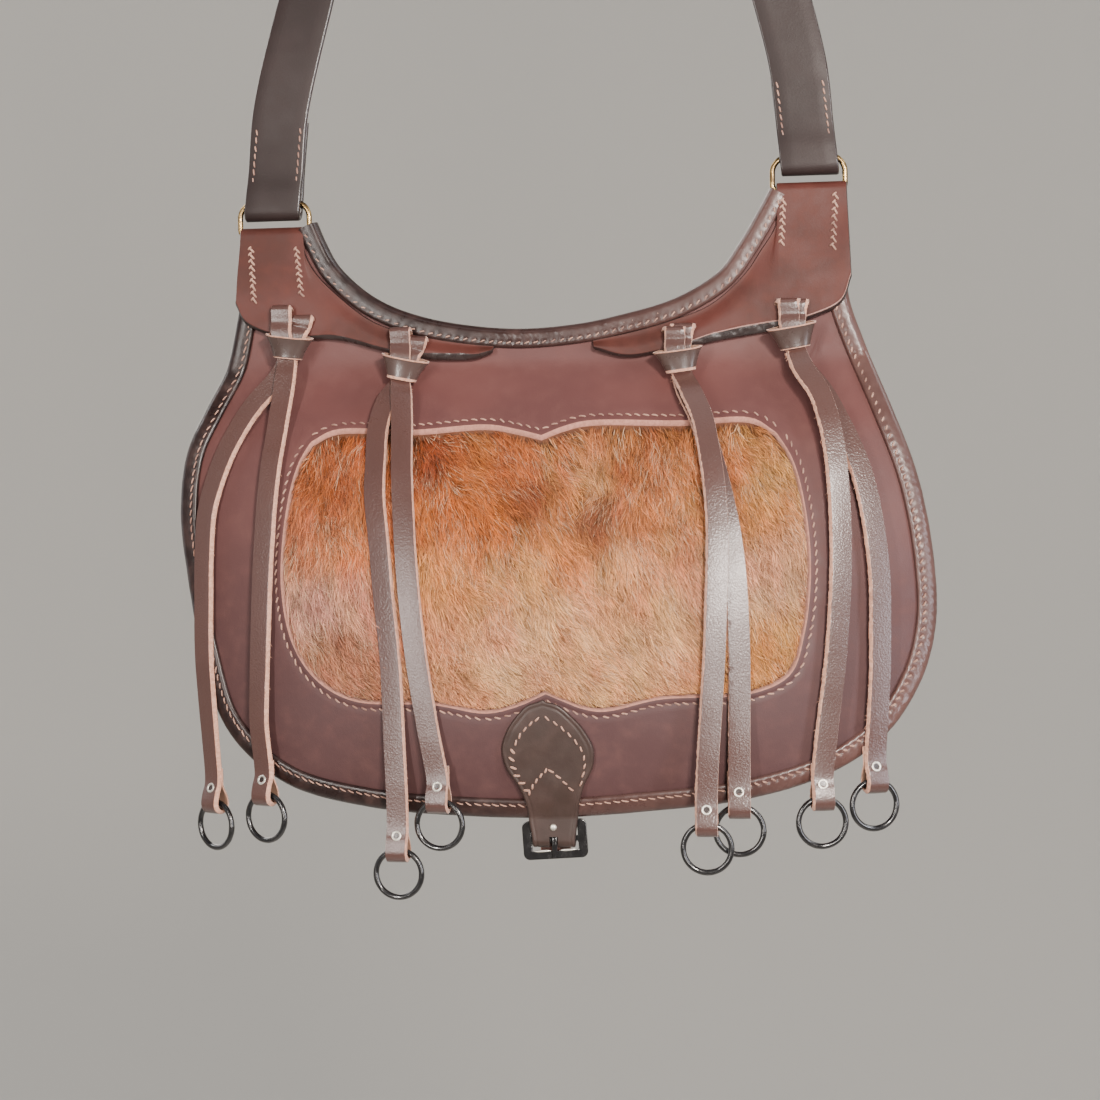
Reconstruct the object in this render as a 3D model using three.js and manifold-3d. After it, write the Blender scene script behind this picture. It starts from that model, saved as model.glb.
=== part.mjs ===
// A leather hunting bag hanging from its shoulder strap: a deep pouch of back panel, gusset and front panel
// under one large flap with a panel of short fur let into it, eight hanger straps with rings for game in
// four pairs, and a closure tab with a buckle. Millimetres, +Z up, the front faces -Y. The bag is drawn
// with its own zero near the middle of the neckline; the group is lowered so that the origin is where the
// strap hangs.

import * as THREE from 'three';
import { mergeVertices } from 'three/addons/utils/BufferGeometryUtils.js';
import Module from 'manifold-3d';

const wasm = await Module();
wasm.setup();

// ---------------------------------------------------------------- driving dimensions

const GAP = 0.35;                 // clearance between neighbouring pieces
const LEATHER = 2.2;              // panels, flap, yokes and hanger straps
const HANG_HEIGHT = 545;          // underside of the shoulder strap above the bag's own zero

const FLAP_FACE = 4.8;            // depth of the flap's outer face where it lies flat on the back panel
const SIDE_REACH = 205;           // half the bag's width
const SIDE_FALL = 0.62;           // share of the bulge lost at the sides
const SIDE_POWER = 2.6;

const HIDE_TOP = 2.9;             // layers below the flap's outer face: fur hide, then front panel
const HIDE_THICK = 1.6;
const FUR_PROUD = 1.0;            // fur above the flap's outer face
const PANEL_TOP = 6.0;

const BINDING = { front: 11, back: 6.5, leather: 1.7, cover: 2.3 };
const SEAM_INSET = 13.5;          // from the flap's outer edge to the edge of the panels
const GUSSET_INSET = 2.6;         // from the panels' edge to the gusset
const GUSSET_THICK = 2.4;

const HANGER_WIDTH = 11.6;
const HANGER_REST = 3.0;          // centre of a hanger strap in front of the flap's outer face
const LOOP_HOLE = 3.4;            // radius of the eye at the end of a hanger strap
const TAIL = 19;                  // folded-back end of a hanger strap

const RING = { radius: 11.5, wire: 1.2 };
const EYELET = { outer: 2.9, hole: 1.5, thick: 0.8, above: 8.4 };

const CONE = { rimWidth: 27, rimDepth: 12.6, footWidth: 15.8, footDepth: 9.2, height: 13, wall: 1.4 };

const LINK = { width: 44, wire: 1.5, rise: 18, corner: 3.6 };        // ring between yoke and shoulder strap
const EAR_MID_Y = -2.4;                                              // middle of the folds round the links
const STRAP = { width: 31, thick: 3.0, eye: 2.0, tail: 45 };         // shoulder strap

const TAB_LEATHER = 2.0;
const BUCKLE = { width: 34, height: 20.4, side: 4.8, bar: 3.6, mid: 2.6, depth: 2.6, x: 4.4, z: -269.4 };
const PRONG = { width: 3.0, thick: 1.3, eye: 2.25 };
const SLIT = { width: 4.4, above: 4.4 };

// ---------------------------------------------------------------- tables

// How far the flap's face stands out in front of the neckline's level, on the middle line of the bag.
const BULGE = [
  { z: 200, out: 0 }, { z: -13, out: 0 }, { z: -24, out: 5 }, { z: -40, out: 17.5 }, { z: -60, out: 33 },
  { z: -90, out: 48 }, { z: -120, out: 57 }, { z: -150, out: 63 }, { z: -180, out: 66 },
  { z: -210, out: 65 }, { z: -235, out: 61 }, { z: -262, out: 53 }, { z: -320, out: 40 },
];

// Outer edge of the flap from the left ear down, along the bottom and up to the right ear.
const FLAP_EDGE = [
  { x: -175, z: 12 }, { x: -181, z: -14 }, { x: -192, z: -39 }, { x: -201, z: -62 }, { x: -203.5, z: -95 },
  { x: -198, z: -133 }, { x: -189, z: -175 }, { x: -179, z: -206 }, { x: -163, z: -226 },
  { x: -137, z: -243 }, { x: -95, z: -253 }, { x: -43, z: -257.5 }, { x: 3, z: -258.5 },
  { x: 50, z: -255.5 }, { x: 107, z: -249 },
  { x: 150, z: -236 }, { x: 178, z: -217 }, { x: 197, z: -189 }, { x: 205, z: -160 }, { x: 204.5, z: -125 },
  { x: 197, z: -82 }, { x: 184, z: -44 }, { x: 171, z: -10 }, { x: 163.5, z: 12 },
];

// Outer edge of the neckline from the left ear to the right ear.
const NECK_EDGE = [
  { x: -124, z: 53.4 }, { x: -116.5, z: 40 }, { x: -97, z: 22.5 }, { x: -70, z: 11 }, { x: -24, z: 3.5 },
  { x: 12, z: 4.7 }, { x: 40, z: 9.6 }, { x: 68, z: 17.3 }, { x: 92, z: 31 }, { x: 104, z: 46.5 },
  { x: 113.5, z: 62 },
];

// Window in the flap, in four runs that meet at the two cusps and the two upper corners.
const WINDOW = {
  topLeft: [
    { x: -128, z: -59 }, { x: -116, z: -53 }, { x: -72, z: -54 }, { x: -31, z: -52 }, { x: -15, z: -55 },
    { x: -2, z: -58.5 },
  ],
  topRight: [
    { x: -2, z: -58.5 }, { x: 9, z: -54 }, { x: 22, z: -51 }, { x: 72, z: -52 }, { x: 110, z: -51.5 },
    { x: 122, z: -59 },
  ],
  right: [
    { x: 122, z: -59 }, { x: 130, z: -73 }, { x: 136, z: -100 }, { x: 138, z: -131 }, { x: 134.5, z: -162 },
    { x: 127, z: -183 }, { x: 108, z: -192 }, { x: 61, z: -194 }, { x: 30, z: -200 }, { x: 14, z: -196 },
    { x: 2, z: -190.5 },
  ],
  left: [
    { x: 2, z: -190.5 }, { x: -13, z: -197 }, { x: -29, z: -200.5 }, { x: -57, z: -196 },
    { x: -101, z: -194 }, { x: -121, z: -183 }, { x: -134, z: -164 }, { x: -140, z: -136 },
    { x: -139, z: -100 }, { x: -134, z: -71 }, { x: -128, z: -59 },
  ],
};

// Each yoke is a fan of ribs from the ear's outer side to the tip below the neckline; the first four rise
// into the fold round the link. `layers` is where the flap and the back panel end inside the ear.
const EARS = {
  left: {
    linkX: -153, fold: 34, top: 60, layers: 53.4, outer: -171.5,
    ribs: [
      { topX: -170, topZ: 55, lowX: -174, lowZ: 14 }, { topX: -159, topZ: 55, lowX: -165.5, lowZ: 6.5 },
      { topX: -147, topZ: 55, lowX: -150, lowZ: 1.5 }, { topX: -136, topZ: 55, lowX: -135, lowZ: 0.5 },
      { topX: -135.5, topZ: 47, lowX: -122, lowZ: 0 }, { topX: -126.5, topZ: 32, lowX: -110, lowZ: -2 },
      { topX: -105, topZ: 12.5, lowX: -95, lowZ: -6.5 }, { topX: -88, topZ: 3.6, lowX: -78, lowZ: -10.5 },
      { topX: -66, topZ: -2.2, lowX: -60, lowZ: -13.2 }, { topX: -47, topZ: -5.6, lowX: -43, lowZ: -13.5 },
      { topX: -31, topZ: -7.6, lowX: -31.5, lowZ: -10 },
    ],
  },
  right: {
    linkX: 142, fold: 34, top: 78, layers: 62, outer: 161.5,
    ribs: [
      { topX: 159, topZ: 73, lowX: 163, lowZ: 15 }, { topX: 148, topZ: 73, lowX: 153, lowZ: 6 },
      { topX: 136, topZ: 73, lowX: 138, lowZ: 3 }, { topX: 125, topZ: 73, lowX: 125, lowZ: -1 },
      { topX: 124.5, topZ: 55, lowX: 113, lowZ: -3 }, { topX: 115.5, topZ: 40, lowX: 103, lowZ: -4.5 },
      { topX: 105, topZ: 26, lowX: 91, lowZ: -6.5 }, { topX: 87, topZ: 11.5, lowX: 75, lowZ: -9.5 },
      { topX: 64, topZ: 3, lowX: 57, lowZ: -12.5 }, { topX: 45, topZ: -2, lowX: 42, lowZ: -14.5 },
      { topX: 24, topZ: -6, lowX: 25, lowZ: -9.5 },
    ],
  },
};

// Leather cones that gather each pair of straps: middle of the rim, and lean in the plane of the flap.
const CONES = [
  { name: 'cone_1', x: -142.5, z: 2.5, lean: -7 }, { name: 'cone_2', x: -78, z: -11, lean: -12 },
  { name: 'cone_3', x: 70.5, z: -10, lean: 7 }, { name: 'cone_4', x: 131.5, z: 1, lean: 9 },
];

// Hanger straps: the place that each comes out of and whether that is a slot through the yoke (without one
// it starts under the strap in front), its layer in the cone (+1 in front), extra stand-off from the flap,
// turn of the end loop about the vertical, height of the ring's hinge, and its way down as x at heights.
const HANGERS = [
  { name: 'hanger_1a', cone: 0, layer: -1, slotX: -137, slotZ: 12.5,
    out: 1.2, turn: -12, eyeZ: -252.5,
    way: [
      { z: -36, x: -162 }, { z: -66, x: -178 }, { z: -109, x: -187 },
      { z: -164, x: -187 }, { z: -252, x: -183 },
    ] },
  { name: 'hanger_1b', cone: 0, layer: 1, slotX: -149, slotZ: 18,
    out: 2.6, turn: -8, eyeZ: -246.5,
    way: [
      { z: -37, x: -146 }, { z: -80, x: -150 }, { z: -155, x: -152 },
      { z: -210, x: -153.5 }, { z: -246, x: -151 },
    ] },
  { name: 'hanger_2a', cone: 1, layer: -1, slotX: -73.6, slotZ: -3,
    out: 0, turn: 0, eyeZ: -274.5,
    way: [
      { z: -40, x: -90 }, { z: -78, x: -90.5 }, { z: -119, x: -86 },
      { z: -173, x: -80 }, { z: -274, x: -77.5 },
    ] },
  { name: 'hanger_2b', cone: 1, layer: 1, slotX: -83.5, slotZ: -0.6,
    out: 0, turn: -5, eyeZ: -248.5,
    way: [
      { z: -36, x: -79 }, { z: -92, x: -74 }, { z: -146, x: -69 },
      { z: -200, x: -61.5 }, { z: -248, x: -54.5 },
    ] },
  { name: 'hanger_3a', cone: 2, layer: 1, slotX: 66, slotZ: 0.2,
    out: 3.4, turn: -7, eyeZ: -260.5,
    way: [
      { z: -40, x: 81 }, { z: -63, x: 87 }, { z: -110, x: 92 },
      { z: -165, x: 90 }, { z: -260, x: 84.5 },
    ] },
  { name: 'hanger_3b', cone: 2, layer: -1, slot: false, slotX: 70, slotZ: -6,
    out: 0, turn: -9.5, eyeZ: -252.5,
    way: [
      { z: -45, x: 81 }, { z: -81, x: 92 }, { z: -120, x: 99.5 },
      { z: -166, x: 102 }, { z: -252, x: 101 },
    ] },
  { name: 'hanger_4a', cone: 3, layer: 1, slotX: 129, slotZ: 13.5,
    out: 2.8, turn: -5, eyeZ: -249.5,
    way: [
      { z: -41, x: 147.5 }, { z: -80, x: 154 }, { z: -123, x: 155.5 },
      { z: -180, x: 151 }, { z: -249, x: 143.5 },
    ] },
  { name: 'hanger_4b', cone: 3, layer: -1, slot: false, slotX: 133.5, slotZ: 5,
    out: 3, turn: 0, eyeZ: -241.5,
    way: [
      { z: -41, x: 150.5 }, { z: -80, x: 167 }, { z: -120, x: 174 },
      { z: -168, x: 175 }, { z: -241, x: 171 },
    ] },
];

// Closure tab: half its width, and how far its inner face stands off the flap's outer face.
const TAB = [
  { z: -195.6, half: 1.2, off: 0.35 }, { z: -198, half: 7.5, off: 0.35 },
  { z: -203, half: 13.5, off: 0.35 }, { z: -211, half: 20, off: 0.35 },
  { z: -222, half: 24, off: 0.4 }, { z: -231, half: 22.2, off: 0.7 },
  { z: -239, half: 17.6, off: 1.6 }, { z: -247, half: 14.4, off: 2.5 }, { z: -256, half: 12.9, off: 2.6 },
];
const TAB_X = 4;

// Shoulder strap from its ring to the top: share of the height, share of the ring's x, turn of its face.
const STRAP_WAY = [
  { height: 0, side: 1, turn: 0 }, { height: 0.14, side: 0.9, turn: 4 },
  { height: 0.3, side: 0.765, turn: 18 }, { height: 0.45, side: 0.625, turn: 38 },
  { height: 0.6, side: 0.475, turn: 58 },
  { height: 0.75, side: 0.31, turn: 75 }, { height: 0.88, side: 0.16, turn: 86 },
  { height: 0.96, side: 0.068, turn: 90 }, { height: 0.991, side: 0.028, turn: 90 },
];

// ---------------------------------------------------------------- materials

const material = (color, roughness, metalness) => (
  new THREE.MeshStandardMaterial({ color, roughness, metalness })
);
const FLAP_LEATHER = material('#7d5750', 0.5, 0);
const BODY_LEATHER = material('#6b4a43', 0.55, 0);
const BINDING_LEATHER = material('#5f4842', 0.42, 0);
const HANGER_LEATHER = material('#5c4e4c', 0.38, 0);
const FUR = material('#b0754a', 0.95, 0);
const NICKEL = material('#c9ccd0', 0.25, 1);
const BLACK_METAL = material('#1b1a1c', 0.3, 0.9);
const BRASS = material('#a98a50', 0.35, 1);

// ---------------------------------------------------------------- helpers for meshes

// Closed mesh from vertices and triangles, turned so that its faces point out.
function solid(vertices, triangles) {
  const volume = triangles.reduce((sum, [a, b, c]) => (
    sum + vertices[a].dot(new THREE.Vector3().crossVectors(vertices[b], vertices[c]))
  ), 0);
  const turned = volume < 0 ? triangles.map(([a, b, c]) => [a, c, b]) : triangles;
  const geometry = new THREE.BufferGeometry();
  const numbers = vertices.flatMap((v) => v.toArray());
  geometry.setAttribute('position', new THREE.Float32BufferAttribute(numbers, 3));
  geometry.setIndex(turned.flat());
  return geometry;
}

// Two matching grids of points, face and back, become one sheet; `closed` joins the last column to the
// first.
function sheet(face, back, closed) {
  const rows = face.length;
  const columns = face[0].length;
  const vertices = [...face.flat(), ...back.flat()];
  const triangles = [];
  const at = (side, r, c) => side * rows * columns + r * columns + (c % columns);
  const quad = (a, b, c, d) => triangles.push([a, b, c], [a, c, d]);
  const last = closed ? columns : columns - 1;
  for (let c = 0; c < last; c += 1) {
    for (let r = 0; r < rows - 1; r += 1) {
      quad(at(0, r, c), at(0, r, c + 1), at(0, r + 1, c + 1), at(0, r + 1, c));
      quad(at(1, r, c), at(1, r + 1, c), at(1, r + 1, c + 1), at(1, r, c + 1));
    }
    quad(at(0, 0, c + 1), at(0, 0, c), at(1, 0, c), at(1, 0, c + 1));
    quad(at(0, rows - 1, c), at(0, rows - 1, c + 1), at(1, rows - 1, c + 1), at(1, rows - 1, c));
  }
  if (!closed) {
    for (let r = 0; r < rows - 1; r += 1) {
      quad(at(0, r, 0), at(0, r + 1, 0), at(1, r + 1, 0), at(1, r, 0));
      quad(at(0, r + 1, last), at(0, r, last), at(1, r, last), at(1, r + 1, last));
    }
  }
  return solid(vertices, triangles);
}

// Rings of points, all with the outline of `section` (2-D, for the end caps), become one closed tube.
function tube(rings, section) {
  const count = section.length;
  const triangles = [];
  for (let i = 0; i < rings.length - 1; i += 1) {
    for (let k = 0; k < count; k += 1) {
      const a = i * count + k;
      const b = i * count + ((k + 1) % count);
      triangles.push([a, b, b + count], [a, b + count, a + count]);
    }
  }
  const end = (rings.length - 1) * count;
  const outline = THREE.ShapeUtils.isClockWise(section) ? section.slice().reverse() : section;
  const number = (i) => (outline === section ? i : count - 1 - i);
  THREE.ShapeUtils.triangulateShape(outline, []).forEach((cap) => {
    const [a, b, c] = outline === section ? cap : [number(cap[0]), number(cap[2]), number(cap[1])];
    triangles.push([a, c, b], [end + a, end + b, end + c]);
  });
  return solid(rings.flat(), triangles);
}

// Strip of leather or metal along stations { p, w }: p is its middle, w the direction of its width. Its
// ends are square to its way, except where it is `sheared` and keeps w as it is.
function ribbon(stations, width, thick) {
  const rings = stations.map(({ p, w, half = width / 2, sheared = false }, i) => {
    const before = stations[Math.max(i - 1, 0)].p;
    const after = stations[Math.min(i + 1, stations.length - 1)].p;
    const along = after.clone().sub(before).normalize();
    const across = sheared ? w : w.clone().addScaledVector(along, -w.dot(along)).normalize();
    const face = new THREE.Vector3().crossVectors(along, across).setLength(thick / 2);
    const corner = (side, up) => p.clone().addScaledVector(across, side * half).addScaledVector(face, up);
    return [corner(-1, -1), corner(1, -1), corner(1, 1), corner(-1, 1)];
  });
  const square = [[-1, -1], [1, -1], [1, 1], [-1, 1]].map(([a, b]) => new THREE.Vector2(a, b));
  return tube(rings, square);
}

function toManifold(geometry) {
  const bare = geometry.clone();
  bare.deleteAttribute('normal');
  bare.deleteAttribute('uv');
  const merged = mergeVertices(bare, 1e-4);
  return new wasm.Manifold(new wasm.Mesh({
    numProp: 3,
    vertProperties: new Float32Array(merged.attributes.position.array),
    triVerts: new Uint32Array(merged.index.array),
  }));
}

function fromManifold(body) {
  const { vertProperties, triVerts } = body.getMesh();
  const geometry = new THREE.BufferGeometry();
  geometry.setAttribute('position', new THREE.Float32BufferAttribute(vertProperties, 3));
  geometry.setIndex(Array.from(triVerts));
  return geometry;
}

// Smooth function through the rows of a table, which may run up or down in `key`.
function profile(rows, key, value) {
  const sorted = rows.slice().sort((a, b) => a[key] - b[key]);
  const slope = (i) => {
    const a = sorted[Math.max(i - 1, 0)];
    const b = sorted[Math.min(i + 1, sorted.length - 1)];
    return (b[value] - a[value]) / (b[key] - a[key]);
  };
  const flat = (i) => {
    const a = sorted[Math.max(i - 1, 0)][value];
    const b = sorted[i][value];
    const c = sorted[Math.min(i + 1, sorted.length - 1)][value];
    return (b - a) * (c - b) <= 0;
  };
  const tangent = (i) => (flat(i) ? 0 : slope(i));
  return (at) => {
    const k = THREE.MathUtils.clamp(at, sorted[0][key], sorted.at(-1)[key]);
    const i = Math.min(sorted.findLastIndex((row) => row[key] <= k), sorted.length - 2);
    const span = sorted[i + 1][key] - sorted[i][key];
    const t = (k - sorted[i][key]) / span;
    const rise = sorted[i + 1][value] - sorted[i][value];
    const ease = t * t * (3 - 2 * t);
    const bend = span * (t * (1 - t) ** 2 * tangent(i) - t * t * (1 - t) * tangent(i + 1));
    return sorted[i][value] + rise * ease + bend;
  };
}

function smoothCurve(rows) {
  const points = rows.map(({ x, z }) => new THREE.Vector3(x, 0, z));
  return new THREE.CatmullRomCurve3(points, false, 'centripetal');
}

// Points at even steps along a smooth curve through rows { x, z }, with the direction into the bag at each.
function stationsAlong(rows, count, inwardSide) {
  const curve = smoothCurve(rows);
  return Array.from({ length: count + 1 }, (_, i) => {
    const p = curve.getPointAt(i / count);
    const t = curve.getTangentAt(i / count);
    return { x: p.x, z: p.z, inX: -t.z * inwardSide, inZ: t.x * inwardSide };
  });
}

const inset = (s, d) => ({ x: s.x + s.inX * d, z: s.z + s.inZ * d });

// ---------------------------------------------------------------- the flap's surface

const bulge = profile(BULGE, 'z', 'out');
const sideShare = (x) => 1 - SIDE_FALL * (Math.abs(x) / SIDE_REACH) ** SIDE_POWER;
const faceDepth = (x, z) => FLAP_FACE + bulge(z) * sideShare(x);
const sideSlope = (x, z) => (faceDepth(x + 0.5, z) - faceDepth(x - 0.5, z));

// Point of the layer that lies `depth` below the flap's outer face (above it where depth is negative).
function layer(x, z, depth) {
  const normal = new THREE.Vector3(-sideSlope(x, z), -1, -(faceDepth(x, z + 0.5) - faceDepth(x, z - 0.5)));
  return new THREE.Vector3(x, -faceDepth(x, z), z).addScaledVector(normal.normalize(), -depth);
}

// The same layer met straight behind (x, z).
const steepness = (x, z) => Math.hypot(1, sideSlope(x, z), faceDepth(x, z + 0.5) - faceDepth(x, z - 0.5));
const beneath = (x, z, depth) => new THREE.Vector3(x, -faceDepth(x, z) + depth * steepness(x, z), z);

const EDGE_STEPS = 44;
const NECK_STEPS = 20;
const edgeStations = stationsAlong(FLAP_EDGE, EDGE_STEPS, 1);
const neckStations = stationsAlong(NECK_EDGE, NECK_STEPS, -1);

// ---------------------------------------------------------------- flap, fur and bindings

const evenly = (count) => Array.from({ length: count }, (_, i) => i / count);

function windowRun(rows, shares) {
  const curve = smoothCurve(rows);
  return shares.map((share) => curve.getPointAt(share)).map(({ x, z }) => ({ x, z }));
}

// The flap is ruled between its window and its rim: neckline, right ear, right side, bottom, left side,
// left ear.
function flap() {
  const half = EDGE_STEPS / 2;
  const fan = 1.6;                // draws the sides' rulings towards the window's upper corners
  const plain = (x, z) => ({ x, z, inX: 0, inZ: 0 });
  const { left, right } = EARS;
  const rightRim = [
    plain(right.outer, right.layers), plain(right.outer, 38), ...edgeStations.slice(half + 1).reverse(),
  ];
  const leftRim = [
    ...edgeStations.slice(0, half + 1).reverse(), plain(left.outer, 32), plain(left.outer, left.layers),
  ];
  const rim = [...neckStations, ...rightRim, ...leftRim];
  const rightShares = rightRim.map((_, i) => ((i + 1) / (rightRim.length + 1)) ** fan);
  const leftShares = leftRim.map((_, i) => 1 - (1 - i / leftRim.length) ** fan);
  const inner = [
    ...windowRun(WINDOW.topLeft, evenly(NECK_STEPS / 2)),
    ...windowRun(WINDOW.topRight, evenly(NECK_STEPS / 2)),
    ...windowRun(WINDOW.right, [0, ...rightShares]),
    ...windowRun(WINDOW.left, leftShares),
  ];
  const hem = rim.map((s) => inset(s, BINDING.cover));
  const fold = rim.map((s, i) => {
    const bound = inset(s, BINDING.front + 0.6);
    return s.inX || s.inZ ? bound : { x: s.x * 0.9 + inner[i].x * 0.1, z: s.z * 0.9 + inner[i].z * 0.1 };
  });
  const between = (share) => fold.map((p, i) => ({
    x: THREE.MathUtils.lerp(inner[i].x, p.x, share), z: THREE.MathUtils.lerp(inner[i].z, p.z, share),
  }));
  const rows = [inner, between(0.35), between(0.7), fold, hem];
  const grid = (depth) => rows.map((row) => row.map(({ x, z }) => layer(x, z, depth)));
  return sheet(grid(0), grid(LEATHER), true);
}

// Leather folded over an edge: a U of section { d: inward from the edge, n: below the face } along
// stations.
function binding(stations, place, backInner) {
  const { front, back, leather, cover } = BINDING;
  const over = -GAP - 0.3;
  const under = backInner + GAP + 0.25;
  const edge = cover - GAP;
  const section = [
    { d: front, n: over - leather }, { d: 3, n: over - leather }, { d: 0.8, n: over - leather * 0.45 },
    { d: 0, n: backInner / 2 }, { d: 0.8, n: under + leather * 0.45 }, { d: 3, n: under + leather },
    { d: back, n: under + leather }, { d: back, n: under }, { d: edge, n: under }, { d: edge, n: over },
    { d: front, n: over },
  ];
  const rings = stations.map((s) => section.map(({ d, n }) => {
    const { x, z } = inset(s, d);
    return place(x, z, n);
  }));
  return tube(rings, section.map(({ d, n }) => new THREE.Vector2(d, n)));
}

// The hide lies behind the window and its fur fills the window a little proud of the flap.
function furPanel() {
  const shares = evenly(9);
  const rim = [
    ...windowRun(WINDOW.topLeft, shares), ...windowRun(WINDOW.topRight, shares),
    ...windowRun(WINDOW.right, evenly(17)), ...windowRun(WINDOW.left, evenly(17)),
  ];
  const centre = { x: 0, z: -126 };
  const moved = (p, by) => {
    const out = new THREE.Vector2(p.x - centre.x, p.z - centre.z);
    const scale = 1 + by / out.length();
    return { x: centre.x + out.x * scale, z: centre.z + out.y * scale };
  };
  const ring = (by, share, depth) => rim.map((p) => {
    const edge = moved(p, by);
    const x = centre.x + (edge.x - centre.x) * share;
    const z = centre.z + (edge.z - centre.z) * share;
    return layer(x, z, depth);
  });
  const step = HIDE_TOP + HIDE_THICK;
  const rings = [
    ring(-1.4, 0.35, -FUR_PROUD - 0.8), ring(-1.4, 0.7, -FUR_PROUD - 0.4), ring(-1.4, 0.97, -FUR_PROUD),
    ring(-1.4, 1, -FUR_PROUD + 0.8), ring(-1.4, 1, HIDE_TOP), ring(6, 1, HIDE_TOP), ring(6, 1, step),
    ring(-1.4, 0.75, step), ring(-1.4, 0.4, step),
  ];
  const count = rim.length;
  const vertices = rings.flat();
  const triangles = [];
  for (let r = 0; r < rings.length - 1; r += 1) {
    for (let c = 0; c < count; c += 1) {
      const a = r * count + c;
      const b = r * count + ((c + 1) % count);
      triangles.push([a, b, b + count], [a, b + count, a + count]);
    }
  }
  const front = vertices.push(layer(centre.x, centre.z, -FUR_PROUD - 1)) - 1;
  const back = vertices.push(layer(centre.x, centre.z, step)) - 1;
  const end = (rings.length - 1) * count;
  for (let c = 0; c < count; c += 1) {
    const next = (c + 1) % count;
    triangles.push([front, next, c], [back, end + c, end + next]);
  }
  return solid(vertices, triangles);
}

// ---------------------------------------------------------------- the pouch

const SEAM_FROM = 4;              // first and last rim stations that the pouch's seam follows
const seamStations = edgeStations.slice(SEAM_FROM, EDGE_STEPS + 1 - SEAM_FROM);
const panelBack = PANEL_TOP + LEATHER;

function backPanel() {
  const seam = seamStations.map((s) => inset(s, SEAM_INSET));
  const { left, right } = EARS;
  const neck = neckStations.map((s) => inset(s, BINDING.cover));
  const outline = [
    ...neck, { x: right.outer, z: right.layers }, { x: right.outer, z: 16 }, { x: right.outer - 8, z: 11 },
    ...seam.reverse(),
    { x: left.outer + 7, z: 11 }, { x: left.outer, z: 16 }, { x: left.outer, z: left.layers },
  ];
  const shape = new THREE.Shape(outline.map(({ x, z }) => new THREE.Vector2(x, z)));
  const geometry = new THREE.ExtrudeGeometry(shape, { depth: LEATHER, bevelEnabled: false });
  return geometry.rotateX(Math.PI / 2);
}

function frontPanel() {
  const seam = seamStations.filter((_, i) => i % 2 === 0).map((s) => inset(s, SEAM_INSET));
  const first = seam[0];
  const last = seam.at(-1);
  const mouthDip = 9;
  const mouth = seam.map((_, i) => {
    const t = i / (seam.length - 1);
    const x = THREE.MathUtils.lerp(first.x, last.x, t);
    const z = THREE.MathUtils.lerp(first.z, last.z, t);
    return { x, z: z + 3 - mouthDip * Math.sin(Math.PI * t) };
  });
  const rows = 6;
  const grid = (depth) => Array.from({ length: rows + 1 }, (_, r) => seam.map((s, i) => {
    const x = THREE.MathUtils.lerp(mouth[i].x, s.x, r / rows);
    const z = THREE.MathUtils.lerp(mouth[i].z, s.z, r / rows);
    return beneath(x, z, depth);
  }));
  return sheet(grid(PANEL_TOP), grid(panelBack), false);
}

function gusset() {
  const outer = SEAM_INSET + GUSSET_INSET;
  const backY = -LEATHER - GAP;
  const frontY = (p) => Math.min(beneath(p.x, p.z, panelBack).y + GAP + 0.6, backY - 3);
  const rows = (d) => {
    const points = seamStations.map((s) => inset(s, d));
    return [
      points.map(({ x, z }) => new THREE.Vector3(x, backY, z)),
      points.map((p) => new THREE.Vector3(p.x, frontY(p), p.z)),
    ];
  };
  return sheet(rows(outer), rows(outer + GUSSET_THICK), false);
}

// Plain strap that the buckle takes, sewn low on the front panel and hanging behind the tab.
function billet() {
  const thick = 1.6;
  const way = [
    { z: -222, depth: 4.1 }, { z: -236, depth: 4.1 }, { z: -245.6, depth: 4.1 }, { z: -251.5, depth: 6.4 },
  ];
  const w = new THREE.Vector3(1, 0, 0);
  const stations = way.map(({ z, depth }) => ({ p: layer(TAB_X, z, depth), w }));
  const low = stations.at(-1).p;
  stations.push({ p: new THREE.Vector3(TAB_X, low.y + 1, low.z - 12), w });
  stations.push({ p: new THREE.Vector3(TAB_X, low.y + 1, BUCKLE.z - 7), w });
  return ribbon(stations, 16, thick);
}

// ---------------------------------------------------------------- hanger straps, cones and rings

const YOKE_LIFT = { near: GAP, far: 2.8 };
const yokeTop = YOKE_LIFT.near + YOKE_LIFT.far + LEATHER;      // outer face of a yoke at its lower edge
const yokeLift = (share) => (
  YOKE_LIFT.near + YOKE_LIFT.far * THREE.MathUtils.smoothstep(share, 0.05, 0.7)
);

// Outer face of a yoke at (x, z), as a depth in front of the back panel's plane.
function yokeFace({ ribs }, x, z) {
  const rows = ribs.slice().sort((a, b) => a.lowX - b.lowX);
  const shareAt = ({ topX, topZ, lowX, lowZ }) => {
    const share = THREE.MathUtils.clamp((topZ - z) / (topZ - lowZ), 0, 1);
    return { share, x: THREE.MathUtils.lerp(topX, lowX, share) };
  };
  const near = rows.map(shareAt).sort((a, b) => Math.abs(a.x - x) - Math.abs(b.x - x))[0];
  return faceDepth(x, z) + yokeLift(near.share) + LEATHER;
}

const STACK = (LEATHER + 0.6) / 2;       // from the middle of a pair of straps to the middle of either
const PAIR_HALF = STACK + LEATHER / 2;
const SQUEEZED = 5.2;                    // half the width of a strap inside its cone
const NARROW = 4.9;                      // and in its slot

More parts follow.
